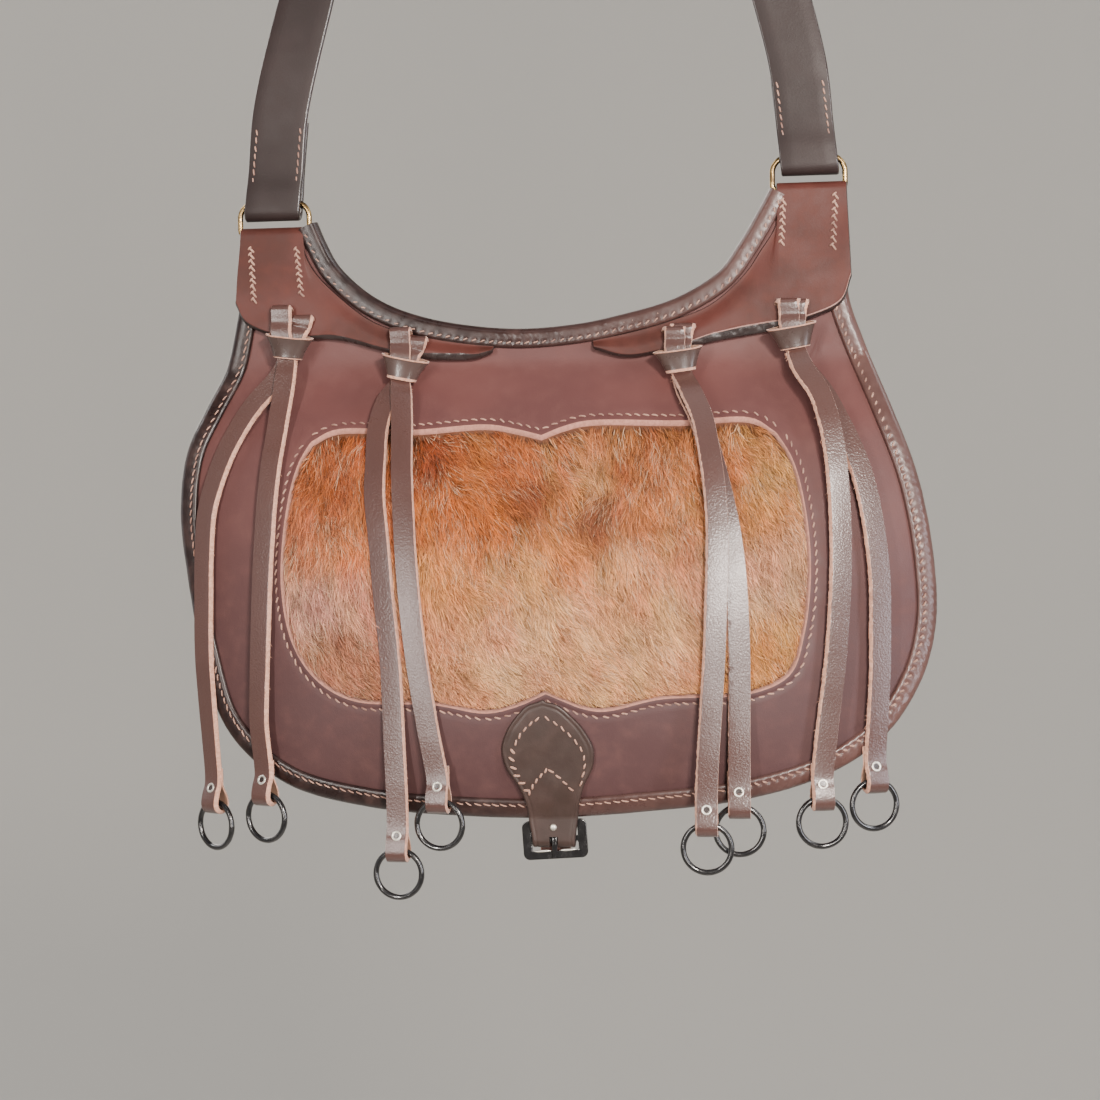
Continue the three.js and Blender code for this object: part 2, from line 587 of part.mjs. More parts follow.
// Axis of a cone: its back lies on the yoke at the rim and clear of the flap at the foot.
const coneAxes = CONES.map(({ x, z, lean }) => {
  const turn = THREE.MathUtils.degToRad(lean);
  const foot = { x: x + CONE.height * Math.sin(turn), z: z - CONE.height * Math.cos(turn) };
  const rimBack = Math.max(faceDepth(x, z) + yokeTop, faceDepth(x, z - 6) + 2) + GAP + 0.2;
  const footBack = Math.max(rimBack, faceDepth(foot.x, foot.z) + 2.8);
  const pairIn = CONE.wall + GAP + PAIR_HALF;
  return {
    rim: new THREE.Vector3(x, -rimBack - CONE.rimDepth / 2, z),
    foot: new THREE.Vector3(foot.x, -footBack - CONE.footDepth / 2, foot.z),
    pairRim: new THREE.Vector3(x, -rimBack - pairIn, z),
    pairFoot: new THREE.Vector3(foot.x, -footBack - CONE.footDepth / 2, foot.z),
    across: new THREE.Vector3(Math.cos(turn), 0, Math.sin(turn)),
  };
});

function cone(axis) {
  const sides = 16;
  const square = 0.6;             // 1 gives an ellipse, less a rounder-cornered rectangle
  const swell = (v) => Math.sign(v) * Math.abs(v) ** square;
  const ring = (centre, width, depth) => Array.from({ length: sides }, (_, k) => {
    const turn = (2 * Math.PI * (k + 0.5)) / sides;
    return centre.clone().addScaledVector(axis.across, (width / 2) * swell(Math.cos(turn)))
      .add(new THREE.Vector3(0, (depth / 2) * swell(Math.sin(turn)), 0));
  });
  const { rimWidth, rimDepth, footWidth, footDepth, wall } = CONE;
  const rings = [
    ring(axis.rim, rimWidth, rimDepth),
    ring(axis.foot, footWidth, footDepth),
    ring(axis.foot, footWidth - 2 * wall, footDepth - 2 * wall),
    ring(axis.rim, rimWidth - 2 * wall, rimDepth - 2 * wall),
  ];
  const column = (k) => rings.map((points) => points[k % sides]);
  const vertices = Array.from({ length: sides }, (_, k) => column(k)).flat();
  const triangles = [];
  for (let k = 0; k < sides; k += 1) {
    for (let r = 0; r < 4; r += 1) {
      const a = k * 4 + r;
      const b = k * 4 + ((r + 1) % 4);
      const c = ((k + 1) % sides) * 4 + ((r + 1) % 4);
      const d = ((k + 1) % sides) * 4 + r;
      triangles.push([a, b, c], [a, c, d]);
    }
  }
  return solid(vertices, triangles);
}

const EYE_HALF = LOOP_HOLE + LEATHER / 2;

// Middle line of a hanger strap from its slot through the cone and down, and the place of its end eye.
function hangerWay(row) {
  const { cone: index, layer: place, slot = true, slotX, slotZ, out, turn, eyeZ, way } = row;
  const axis = coneAxes[index];
  const shift = new THREE.Vector3(0, -place * STACK, 0);
  const ear = index < 2 ? EARS.left : EARS.right;
  const face = yokeFace(ear, slotX, slotZ);
  const lying = (z, y) => ({
    p: new THREE.Vector3(slotX, -y, z), w: new THREE.Vector3(1, 0, 0), half: NARROW, sheared: true,
  });
  const rimUp = axis.pairRim.clone().sub(axis.pairFoot).normalize();
  const stacked = place > 0 ? 2 * STACK : 0;
  const overYoke = Math.max(face, yokeFace(ear, slotX, slotZ - 5)) + GAP + LEATHER / 2 + stacked;
  const through = (up, from) => ({
    p: from.clone().addScaledVector(rimUp, up).add(shift), w: axis.across, half: SQUEEZED, sheared: true,
  });
  const top = slot
    ? [lying(slotZ + 0.8, face - 1.3), lying(slotZ - 0.4, face + 0.6), lying(slotZ - 3.4, overYoke)]
    : [lying(slotZ, overYoke)];
  const stations = [...top, through(0.6, axis.pairRim), through(-0.8, axis.pairFoot)];
  const foot = stations.at(-1).p;
  const xWay = (rows) => profile([{ z: foot.z, x: foot.x }, ...rows], 'z', 'x');
  const xAt = xWay(way);
  const partner = HANGERS.find((other) => other.cone === index && other.layer !== place);
  const partnerAt = xWay(partner.way);
  const eyeTop = eyeZ + 11;
  const steps = 11;
  let depth = -foot.y;
  for (let i = 1; i <= steps; i += 1) {
    const z = THREE.MathUtils.lerp(foot.z, eyeTop, (i / steps) ** 1.3);
    const x = xAt(z);
    const between = Math.abs(x - partnerAt(z));
    const apart = THREE.MathUtils.smoothstep(between, HANGER_WIDTH + 1, HANGER_WIDTH + 4);
    const stack = place > 0 ? (2 * STACK + 0.2 + partner.out) * (1 - apart) : 0;
    depth = Math.max(depth, faceDepth(x, z) + (HANGER_REST + out + stack) * steepness(x, z));
    const tilt = sideSlope(x, Math.max(z, -180));
    const twist = THREE.MathUtils.degToRad(turn) * THREE.MathUtils.smoothstep(i / steps, 0.7, 1);
    const w = new THREE.Vector3(1, -tilt, 0).normalize().applyAxisAngle(new THREE.Vector3(0, 0, 1), twist);
    stations.push({ p: new THREE.Vector3(x, -depth, z), w });
  }
  const { p, w } = stations.at(-1);
  const front = new THREE.Vector3(w.y, -w.x, 0).normalize();
  const eye = new THREE.Vector3(p.x, p.y, eyeZ).addScaledVector(front, -STACK);
  return { stations, eye, w, front };
}

// Strap with its end folded round the eye: down in front of the middle plane, round, and up behind it.
function hanger(row) {
  const { stations, eye, w, front } = hangerWay(row);
  const at = (f, up) => ({ p: eye.clone().addScaledVector(front, f).add(new THREE.Vector3(0, 0, up)), w });
  const eyeTurns = [12, -18, -48, -78, -102, -132, -162, -192].map((deg) => {
    const a = THREE.MathUtils.degToRad(deg);
    return at(EYE_HALF * Math.cos(a), EYE_HALF * Math.sin(a));
  });
  const rise = at(EYE_HALF * 0.74, 5.6);
  const fall = at(-EYE_HALF * 0.74, 5.6);
  const last = stations.length - 1;
  return ribbon(
    [...stations.slice(0, last), at(STACK, 11), rise, ...eyeTurns, fall, at(-STACK, 11), at(-STACK, TAIL)],
    HANGER_WIDTH, LEATHER,
  );
}

function ring({ eye, w }) {
  const geometry = new THREE.TorusGeometry(RING.radius, RING.wire, 6, 18);
  const down = new THREE.Vector3(0, 0, -1);
  const through = new THREE.Vector3().crossVectors(w, down);
  const basis = new THREE.Matrix4().makeBasis(w.clone().normalize(), down, through);
  return geometry.applyMatrix4(basis).translate(eye.x, eye.y, eye.z - RING.radius);
}

// Washer of the rivet that closes the folded end, on the strap's front just above the eye.
function eyelet({ eye, front }) {
  const { outer, hole, thick, above } = EYELET;
  const outline = [[hole, 0], [outer, 0], [outer - 0.3, thick], [hole + 0.2, thick]]
    .map(([r, y]) => new THREE.Vector2(r, y));
  const geometry = new THREE.LatheGeometry([...outline, outline[0]], 10);
  const lean = new THREE.Vector3(0, 0, 1).multiplyScalar(0.33).add(front).normalize();
  geometry.applyQuaternion(new THREE.Quaternion().setFromUnitVectors(new THREE.Vector3(0, 1, 0), lean));
  const seat = eye.clone().addScaledVector(front, 2.35).add(new THREE.Vector3(0, 0, above))
    .addScaledVector(lean, LEATHER / 2 + GAP);
  return geometry.translate(seat.x, seat.y, seat.z);
}

// ---------------------------------------------------------------- yokes, links and shoulder strap

const earFace = FLAP_FACE + GAP + LEATHER;                       // outer face of a yoke's leaf at the ear
const foldHalf = earFace - LEATHER / 2 + EAR_MID_Y;              // fold's middle line from the ear's middle
const linkLift = foldHalf - LEATHER / 2 - LINK.wire - GAP;       // link's lower bar above the fold's centre
const foldZ = (ear) => ear.top - foldHalf - LEATHER / 2;
const FOLD = { front: 3, back: 30 };     // how far the fold's two legs reach down from its centre

function yoke(ear, cutters) {
  const shares = [0, 0.3, 0.55, 0.78, 1];
  const grid = (extra) => shares.map((share) => ear.ribs.map(({ topX, topZ, lowX, lowZ }) => {
    const alongX = THREE.MathUtils.lerp(topX, lowX, share);
    const alongZ = THREE.MathUtils.lerp(topZ, lowZ, share);
    return layer(alongX, alongZ, -yokeLift(share) - extra);
  }));
  const leaf = toManifold(sheet(grid(0), grid(LEATHER), false));
  const x = ear.linkX;
  const z0 = foldZ(ear);
  const w = new THREE.Vector3(1, 0, 0);
  const at = (y, z) => ({ p: new THREE.Vector3(x, y, z), w });
  const turns = [0, 30, 60, 90, 120, 150, 180].map((deg) => {
    const a = THREE.MathUtils.degToRad(deg);
    return at(EAR_MID_Y - foldHalf * Math.cos(a), z0 + foldHalf * Math.sin(a));
  });
  const foldWay = [
    at(EAR_MID_Y - foldHalf, z0 - FOLD.front), ...turns, at(EAR_MID_Y + foldHalf, z0 - FOLD.back),
  ];
  const fold = toManifold(ribbon(foldWay, ear.fold, LEATHER));
  const slotted = cutters.reduce((body, cutter) => body.subtract(cutter), leaf.add(fold));
  return fromManifold(slotted.decompose().sort((a, b) => b.volume() - a.volume())[0]);
}

// The upper end of a hanger strap, grown by the gap on every side, cuts its slot in the yoke.
function slotCutter(row) {
  const stations = hangerWay(row).stations.slice(0, 5).map((station) => ({
    ...station, p: station.p.clone(), half: (station.half ?? HANGER_WIDTH / 2) + GAP,
  }));
  const behind = stations[0].p.clone().sub(stations[1].p).setLength(3);
  stations[0].p.add(behind);
  return toManifold(ribbon(stations, HANGER_WIDTH + 2 * GAP, LEATHER + 2 * GAP));
}

const linkBar = (ear) => foldZ(ear) + linkLift;

function link(ear) {
  const halfWidth = LINK.width / 2 - LINK.wire - LINK.corner;
  const halfRise = LINK.rise / 2 - LINK.corner;
  const z0 = linkBar(ear) + LINK.rise / 2;
  const corners = [[1, -1, -90], [1, 1, 0], [-1, 1, 90], [-1, -1, 180]];
  const way = corners.flatMap(([sx, sz, from]) => [0, 30, 60, 90].map((deg) => {
    const a = THREE.MathUtils.degToRad(from + deg);
    return { x: sx * halfWidth + LINK.corner * Math.cos(a), z: sz * halfRise + LINK.corner * Math.sin(a) };
  }));
  const sides = 6;
  const vertices = way.flatMap(({ x, z }, i) => {
    const before = way[(i + way.length - 1) % way.length];
    const after = way[(i + 1) % way.length];
    const out = new THREE.Vector2(after.z - before.z, before.x - after.x).normalize();
    return Array.from({ length: sides }, (__, k) => {
      const a = (2 * Math.PI * k) / sides;
      const r = LINK.wire * Math.cos(a);
      const y = EAR_MID_Y + LINK.wire * Math.sin(a);
      return new THREE.Vector3(ear.linkX + x + out.x * r, y, z0 + z + out.y * r);
    });
  });
  const triangles = [];
  for (let i = 0; i < way.length; i += 1) {
    for (let k = 0; k < sides; k += 1) {
      const next = ((i + 1) % way.length) * sides;
      const a = i * sides + k;
      const b = i * sides + ((k + 1) % sides);
      const c = next + ((k + 1) % sides);
      const d = next + k;
      triangles.push([a, b, c], [a, c, d]);
    }
  }
  return solid(vertices, triangles);
}

// From the stitched end behind one link, over the hang point, to the stitched end behind the other.
function shoulderStrap() {
  const eyeHalf = STRAP.eye + STRAP.thick / 2;
  const pair = (STRAP.thick + GAP) / 2;
  const top = HANG_HEIGHT + STRAP.thick / 2;
  const leg = (ear, side) => {
    const z0 = linkBar(ear) + LINK.rise + STRAP.eye - LINK.wire - GAP;
    const w = new THREE.Vector3(-side, 0, 0);
    const lean = 0.1;
    const at = (y, up) => ({
      p: new THREE.Vector3(ear.linkX - side * up * lean, EAR_MID_Y + y, z0 + up), w,
    });
    const turns = [180, 150, 120, 90, 60, 30, 0].map((deg) => {
      const a = THREE.MathUtils.degToRad(deg);
      return at(-eyeHalf * Math.cos(a), -eyeHalf * Math.sin(a));
    });
    const seam = STRAP.tail;
    const start = at(-pair, seam + 4);
    const rows = STRAP_WAY.map(({ height, side: share, turn }) => {
      const a = THREE.MathUtils.degToRad(180 + turn);
      const x = start.p.x * share;
      const z = THREE.MathUtils.lerp(start.p.z, top, height);
      const y = THREE.MathUtils.lerp(start.p.y, 0, height);
      return { p: new THREE.Vector3(x, y, z), angle: a };
    });
    const ends = [
      at(pair, seam), at(pair, 14), at(eyeHalf * 0.8, 4), ...turns, at(-eyeHalf * 0.8, 4), at(-pair, 14),
    ];
    return { ends, rows };
  };
  const left = leg(EARS.left, -1);
  const right = leg(EARS.right, 1);
  const apex = { p: new THREE.Vector3(0, 0, top), angle: THREE.MathUtils.degToRad(270) };
  const over = [...left.rows, apex, ...right.rows.slice().reverse()];
  const middle = over.map(({ p, angle }, i) => {
    const before = over[Math.max(i - 1, 0)].p;
    const after = over[Math.min(i + 1, over.length - 1)].p;
    const along = after.clone().sub(before).normalize();
    const y = new THREE.Vector3(0, 1, 0);
    const normal = new THREE.Vector3().crossVectors(along, y);
    return { p, w: y.multiplyScalar(Math.sin(angle)).addScaledVector(normal, Math.cos(angle)) };
  });
  return ribbon([...left.ends, ...middle, ...right.ends.slice().reverse()], STRAP.width, STRAP.thick);
}

// ---------------------------------------------------------------- closure

const tabLow = TAB.at(-1);
const tabMid = (row) => layer(TAB_X, row.z, -row.off - TAB_LEATHER / 2);
const barHalf = PRONG.eye - 0.05 + TAB_LEATHER / 2;              // tab's middle line round the centre bar
const barY = tabMid(tabLow).y + barHalf;

function tab() {
  const w = new THREE.Vector3(1, 0, 0);
  const upper = TAB.map((row) => ({ p: tabMid(row), w, half: row.half }));
  const at = (y, z, half) => ({ p: new THREE.Vector3(TAB_X, barY + y, BUCKLE.z + z), w, half });
  const turns = [180, 210, 240, 270, 300, 330, 360].map((deg) => {
    const a = THREE.MathUtils.degToRad(deg);
    return at(barHalf * Math.cos(a), barHalf * Math.sin(a), 11.2);
  });
  const way = [...upper, at(-barHalf, 6, 12), ...turns, at(barHalf, 8.6, 11.2)];
  const strap = toManifold(ribbon(way, 24, TAB_LEATHER));
  const slit = new THREE.BoxGeometry(SLIT.width, 14, SLIT.above + 8);
  slit.translate(BUCKLE.x, barY - 5 + barHalf / 2, BUCKLE.z + (SLIT.above - 8) / 2);
  return fromManifold(strap.subtract(toManifold(slit)));
}

function buckleFrame() {
  const { width, height, side, bar, mid, depth, x, z } = BUCKLE;
  const rectangle = (Kind, x0, y0, x1, y1, r) => {
    const path = new Kind();
    path.moveTo(x0 + r, y0).lineTo(x1 - r, y0).quadraticCurveTo(x1, y0, x1, y0 + r);
    path.lineTo(x1, y1 - r).quadraticCurveTo(x1, y1, x1 - r, y1).lineTo(x0 + r, y1);
    path.quadraticCurveTo(x0, y1, x0, y1 - r).lineTo(x0, y0 + r).quadraticCurveTo(x0, y0, x0 + r, y0);
    return path;
  };
  const frame = rectangle(THREE.Shape, -width / 2, -height / 2, width / 2, height / 2, 2.5);
  const inner = width / 2 - side;
  frame.holes.push(rectangle(THREE.Path, -inner, mid / 2, inner, height / 2 - bar, 1));
  frame.holes.push(rectangle(THREE.Path, -inner, -height / 2 + bar, inner, -mid / 2, 1));
  const geometry = new THREE.ExtrudeGeometry(frame, { depth, bevelEnabled: false, curveSegments: 2 });
  return geometry.translate(0, 0, -depth / 2).rotateX(Math.PI / 2).translate(x, barY, z);
}

// Prong: a hook round the centre bar whose tine lies on the lower bar.
function prong() {
  const mid = PRONG.eye + PRONG.thick / 2;
  const w = new THREE.Vector3(1, 0, 0);
  const at = (y, z) => ({ p: new THREE.Vector3(BUCKLE.x, barY + y, BUCKLE.z + z), w });
  const turns = [-60, -30, 0, 30, 60, 90, 120, 150, 180].map((deg) => {
    const a = THREE.MathUtils.degToRad(deg);
    return at(mid * Math.cos(a), mid * Math.sin(a));
  });
  const rest = -(BUCKLE.depth / 2 + GAP + PRONG.thick / 2);
  return ribbon([...turns, at(-mid, -2.5), at(rest - 0.2, -6.4), at(rest, -9.6)], PRONG.width, PRONG.thick);
}

function rivet(seat, radius, height) {
  const profilePoints = [[0, 0], [radius, 0], [radius * 0.85, height * 0.6], [0, height]]
    .map(([r, y]) => new THREE.Vector2(r, y));
  const geometry = new THREE.LatheGeometry(profilePoints, 10);
  return geometry.rotateX(Math.PI).translate(seat.x, seat.y, seat.z);
}

// ---------------------------------------------------------------- assembly

const bag = new THREE.Group();
bag.position.z = -HANG_HEIGHT;
function add(name, geometry, finish) {
  const mesh = new THREE.Mesh(geometry, finish);
  mesh.name = name;
  bag.add(mesh);
}

const flatPlace = (x, z, n) => new THREE.Vector3(x, -FLAP_FACE + n, z);
add('back_panel', backPanel(), BODY_LEATHER);
add('gusset', gusset(), BODY_LEATHER);
add('front_panel', frontPanel(), BODY_LEATHER);
add('billet', billet(), BODY_LEATHER);
add('flap', flap(), FLAP_LEATHER);
add('fur_panel', furPanel(), FUR);
add('flap_binding', binding(edgeStations, layer, LEATHER), BINDING_LEATHER);
add('neck_binding', binding(neckStations, flatPlace, FLAP_FACE), BINDING_LEATHER);

Object.entries(EARS).forEach(([side, ear]) => {
  const cutters = HANGERS.filter((row) => (row.cone < 2) === (side === 'left') && row.slot !== false);
  add(`yoke_${side}`, yoke(ear, cutters.map(slotCutter)), FLAP_LEATHER);
  add(`link_${side}`, link(ear), BRASS);
});
add('shoulder_strap', shoulderStrap(), HANGER_LEATHER);

CONES.forEach(({ name }, i) => add(name, cone(coneAxes[i]), HANGER_LEATHER));
HANGERS.forEach((row) => {
  const end = hangerWay(row);
  add(row.name, hanger(row), HANGER_LEATHER);
  add(row.name.replace('hanger', 'eyelet'), eyelet(end), NICKEL);
  add(row.name.replace('hanger', 'ring'), ring(end), BLACK_METAL);
});

add('tab', tab(), FLAP_LEATHER);
add('buckle_frame', buckleFrame(), BLACK_METAL);
add('buckle_prong', prong(), BLACK_METAL);
const tabFace = barY - barHalf - TAB_LEATHER / 2;
add('tab_rivet', rivet(new THREE.Vector3(TAB_X, tabFace - GAP, BUCKLE.z + 6.8), 1.8, 1), NICKEL);

const root = new THREE.Group();
root.add(bag);
export default root;
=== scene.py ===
# %% [markdown]
# # A leather hunting bag, dressed
# The bag hangs from its carrying strap: a pouch under one wide flap, a window of short fur in the flap,
# and eight hanger straps with rings for game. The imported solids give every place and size. This script
# puts finer surfaces over them: rolled bindings, saddle stitches, raw cut edges, fur and polished metal.
# All shapes are worked out in millimetres in the bag's own zero, near the middle of the neckline, and
# moved into the model's frame, in metres, when a mesh is made.

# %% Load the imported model
import math

import bpy
import numpy as np
from mathutils import Matrix, Vector


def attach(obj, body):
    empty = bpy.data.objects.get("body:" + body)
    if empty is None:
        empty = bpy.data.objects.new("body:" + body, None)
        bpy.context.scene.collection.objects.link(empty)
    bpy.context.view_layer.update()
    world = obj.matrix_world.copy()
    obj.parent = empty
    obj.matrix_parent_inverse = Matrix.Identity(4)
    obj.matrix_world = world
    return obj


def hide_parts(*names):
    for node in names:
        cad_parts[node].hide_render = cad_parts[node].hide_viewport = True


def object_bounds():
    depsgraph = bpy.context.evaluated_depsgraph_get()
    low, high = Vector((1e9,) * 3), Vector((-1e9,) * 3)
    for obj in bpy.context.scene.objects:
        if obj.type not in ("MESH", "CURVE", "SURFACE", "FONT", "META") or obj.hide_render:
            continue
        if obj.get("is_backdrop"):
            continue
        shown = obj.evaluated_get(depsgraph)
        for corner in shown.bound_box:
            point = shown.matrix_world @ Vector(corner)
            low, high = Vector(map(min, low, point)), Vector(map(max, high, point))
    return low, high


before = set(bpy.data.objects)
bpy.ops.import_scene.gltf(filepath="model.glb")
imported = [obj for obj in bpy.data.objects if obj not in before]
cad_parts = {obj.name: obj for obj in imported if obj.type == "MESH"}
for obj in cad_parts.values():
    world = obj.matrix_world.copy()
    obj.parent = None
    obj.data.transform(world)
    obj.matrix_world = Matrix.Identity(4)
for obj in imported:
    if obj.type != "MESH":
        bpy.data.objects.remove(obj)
cad_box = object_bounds()

# %% Places and units
MILLIMETRE = 0.001
HANG_HEIGHT = 545.0               # the strap's highest point above the bag's own zero


def to_row(points):
    """Millimetres in the bag's own zero, as metres in the model's frame."""
    return (np.asarray(points, float) + (0.0, 0.0, -HANG_HEIGHT)) * MILLIMETRE


# %% [markdown]
# ## The camera
# The bag is seen almost straight on, from 6.5 degrees to the right and one degree above. A long lens keeps
# the flap's outline true. The bag leans one degree, so the camera is turned by that.

# %% Camera
VIEW_TARGET = (2.65, -45.0, -118.0)
VIEW_DISTANCE = 1150.0
VIEW_WIDTH = 583.0                # width of the picture at the target
VIEW_AZIMUTH, VIEW_ELEVATION, VIEW_ROLL = 6.5, 1.0, -1.0
SENSOR = 36.0

azimuth, elevation = math.radians(VIEW_AZIMUTH), math.radians(VIEW_ELEVATION)
towards_bag = Vector((
    -math.sin(azimuth) * math.cos(elevation), math.cos(azimuth) * math.cos(elevation), -math.sin(elevation),
))
camera_data = bpy.data.cameras.new("camera")
camera_data.sensor_width = SENSOR
camera_data.lens = SENSOR * VIEW_DISTANCE / VIEW_WIDTH
camera = bpy.data.objects.new("camera", camera_data)
bpy.context.scene.collection.objects.link(camera)
camera.location = Vector(to_row(VIEW_TARGET)) - towards_bag * VIEW_DISTANCE * MILLIMETRE
look = towards_bag.to_track_quat("-Z", "Y").to_matrix().to_4x4()
camera.rotation_euler = (look @ Matrix.Rotation(math.radians(VIEW_ROLL), 4, "Z")).to_euler()
bpy.context.scene.camera = camera
print("lens", round(camera_data.lens, 1), "mm")

# %% [markdown]
# ## Smooth lines and functions from short tables
# A maker draws a bag from a few measured points. Two helpers turn such points into smooth shapes: one
# makes a function of one number, and one makes a smooth line in space that can be read at any share of
# its length. A third gives soft random hills, for all that is never dead even in leather.

# %% Smooth tables and lines
def smooth_step(value, low, high):
    share = np.clip((np.asarray(value, float) - low) / (high - low), 0, 1)
    return share * share * (3 - 2 * share)


def table_curve(rows):
    """Smooth function through (key, value) rows, level where the table turns."""
    rows = np.array(sorted(rows), float)
    keys, values = rows[:, 0], rows[:, 1]
    numbers = np.arange(len(rows))
    before, after = np.maximum(numbers - 1, 0), np.minimum(numbers + 1, len(rows) - 1)
    tangents = (values[after] - values[before]) / (keys[after] - keys[before])
    tangents[(values - values[before]) * (values[after] - values) <= 0] = 0

    def curve(at):
        at = np.clip(at, keys[0], keys[-1])
        i = np.clip(np.searchsorted(keys, at, side="right") - 1, 0, len(keys) - 2)
        span = keys[i + 1] - keys[i]
        t = (at - keys[i]) / span
        ease = t * t * (3 - 2 * t)
        bend = span * (t * (1 - t) ** 2 * tangents[i] - t * t * (1 - t) * tangents[i + 1])
        return values[i] + (values[i + 1] - values[i]) * ease + bend

    return curve


def smooth_piece(a, b, c, d, steps, lead=3, least=1e-4):
    """Points after b up to c on a smooth way through a, b, c and d. The first `lead` columns are the places,
    which say how far apart the four are."""
    da, db, dc = (max(np.linalg.norm((q - p)[:lead]) ** 0.5, least) for p, q in ((a, b), (b, c), (c, d)))
    out = ((b - a) / da - (c - a) / (da + db) + (c - b) / db) * db
    into = ((c - b) / db - (d - b) / (db + dc) + (d - c) / dc) * db
    t = np.linspace(0, 1, steps + 1)[1:, None]
    square, cube = -3 * b + 3 * c - 2 * out - into, 2 * b - 2 * c + out + into
    return b + out * t + square * t ** 2 + cube * t ** 3


def with_ends(points):
    """The points with one more at each end, straight on."""
    return np.vstack([2 * points[0] - points[1], points, 2 * points[-1] - points[-2]])


class Line:
    """Smooth line through points, read by share of its length."""

    def __init__(self, points, steps=24):
        points = np.asarray(points, float)
        held = with_ends(points)
        dense = [points[:1]]
        dense += [smooth_piece(*held[i:i + 4], steps) for i in range(len(points) - 1)]
        self.points = np.vstack(dense)
        lengths = np.linalg.norm(np.diff(self.points, axis=0), axis=1)
        self.reach = np.concatenate([[0], np.cumsum(lengths)])
        self.length = self.reach[-1]

    def at(self, shares):
        reach = np.asarray(shares, float) * self.length
        return np.stack([np.interp(reach, self.reach, column) for column in self.points.T], -1)

    def along(self, shares, step=0.002):
        """Unit directions."""
        shares = np.asarray(shares, float)
        ahead = self.at(np.minimum(shares + step, 1)) - self.at(np.maximum(shares - step, 0))
        return unit(ahead)


def unit(vectors):
    return vectors / np.maximum(np.linalg.norm(vectors, axis=-1, keepdims=True), 1e-9)


def lattice_noise(x, z, size, seed):
    """Soft random hills of about this size in millimetres, between -1 and 1."""
    cells = 64
    values = np.random.RandomState(seed).uniform(-1, 1, (cells, cells))
    u, v = np.asarray(x, float) / size, np.asarray(z, float) / size
    i, j = np.floor(u).astype(int), np.floor(v).astype(int)
    s, t = u - i, v - j
    s, t = s * s * (3 - 2 * s), t * t * (3 - 2 * t)
    read = lambda a, b: values[a % cells, b % cells]
    low = read(i, j) * (1 - s) + read(i + 1, j) * s
    high = read(i, j + 1) * (1 - s) + read(i + 1, j + 1) * s
    return low * (1 - t) + high * t


# %% [markdown]
# ## The flap's surface
# The flap is one curved sheet: flat under the yokes, swelling to about seven centimetres over the full
# pouch, and flatter at the sides. Every other piece is placed on it by (x, z) and a depth below its face.
# Soft leather is never dead even, so the sheet also has slow hills of under a millimetre.

# %% Sizes of the leather and the surface
GAP = 0.35                        # between two pieces that lie on each other
LEATHER = 2.2                     # the thickness of most pieces
FLAP_FACE = 4.8                   # the flap's flat part stands this far in front of the back's plane
SIDE_REACH, SIDE_FALL, SIDE_POWER = 205.0, 0.62, 2.6
FEEL = 1.5                        # slopes are felt this far to each side
BULGE = [
    (200, 0), (-13, 0), (-24, 5), (-40, 17.5), (-60, 33), (-90, 48), (-120, 57), (-150, 63), (-180, 66),
    (-210, 65), (-235, 61), (-262, 53), (-320, 40),
]
bulge = table_curve(BULGE)


def plain_depth(x, z):
    return FLAP_FACE + bulge(z) * (1 - SIDE_FALL * (np.abs(x) / SIDE_REACH) ** SIDE_POWER)


def relief(x, z):
    fullness = smooth_step(-np.asarray(z, float), 22, 60)
    hills = 0.55 * lattice_noise(x, z, 62, 3) + 0.28 * lattice_noise(x, z, 27, 4)
    return fullness * hills


def face_depth(x, z):
    return plain_depth(x, z) + relief(x, z)


def side_slope(x, z):
    return plain_depth(x + 0.5, z) - plain_depth(x - 0.5, z)


def layer(x, z, depth, surface=face_depth):
    """Points that lie `depth` below the flap's outer face, or above it where depth is negative."""
    x, z, depth = np.broadcast_arrays(np.asarray(x, float), np.asarray(z, float), np.asarray(depth, float))
    across = (surface(x + FEEL, z) - surface(x - FEEL, z)) / (2 * FEEL)
    down = (surface(x, z + FEEL) - surface(x, z - FEEL)) / (2 * FEEL)
    normal = unit(np.stack([-across, -np.ones_like(x), -down], -1))
    return np.stack([x, -surface(x, z), z], -1) - normal * depth[..., None]


def steepness(x, z):
    """How much further a depth reaches when it is measured straight back."""
    down = plain_depth(x, z + 0.5) - plain_depth(x, z - 0.5)
    return np.sqrt(1 + side_slope(x, z) ** 2 + down ** 2)


print("flap stands out", round(float(plain_depth(0, -180)), 1), "mm at its fullest")

# %% [markdown]
# ## Making meshes
# Leather goods are sheets, strips and rolled edges, so three helpers make nearly everything: a shell with
# a front, a back and cut walls from two grids of points; a sweep through rings of points, open or closed
# on itself; and a ribbon, which is a strap swept along a smooth way. Each returns points, faces and a
# number for the material of every face.

# %% Mesh helpers
def grid_faces(rows, columns, closed=False):
    """Quads of a grid of points, counted row by row."""
    r, c = np.meshgrid(np.arange(rows - 1), np.arange(columns if closed else columns - 1), indexing="ij")
    a = r * columns + c
    b = r * columns + (c + 1) % columns
    return np.stack([a, b, b + columns, a + columns], -1).reshape(-1, 4)


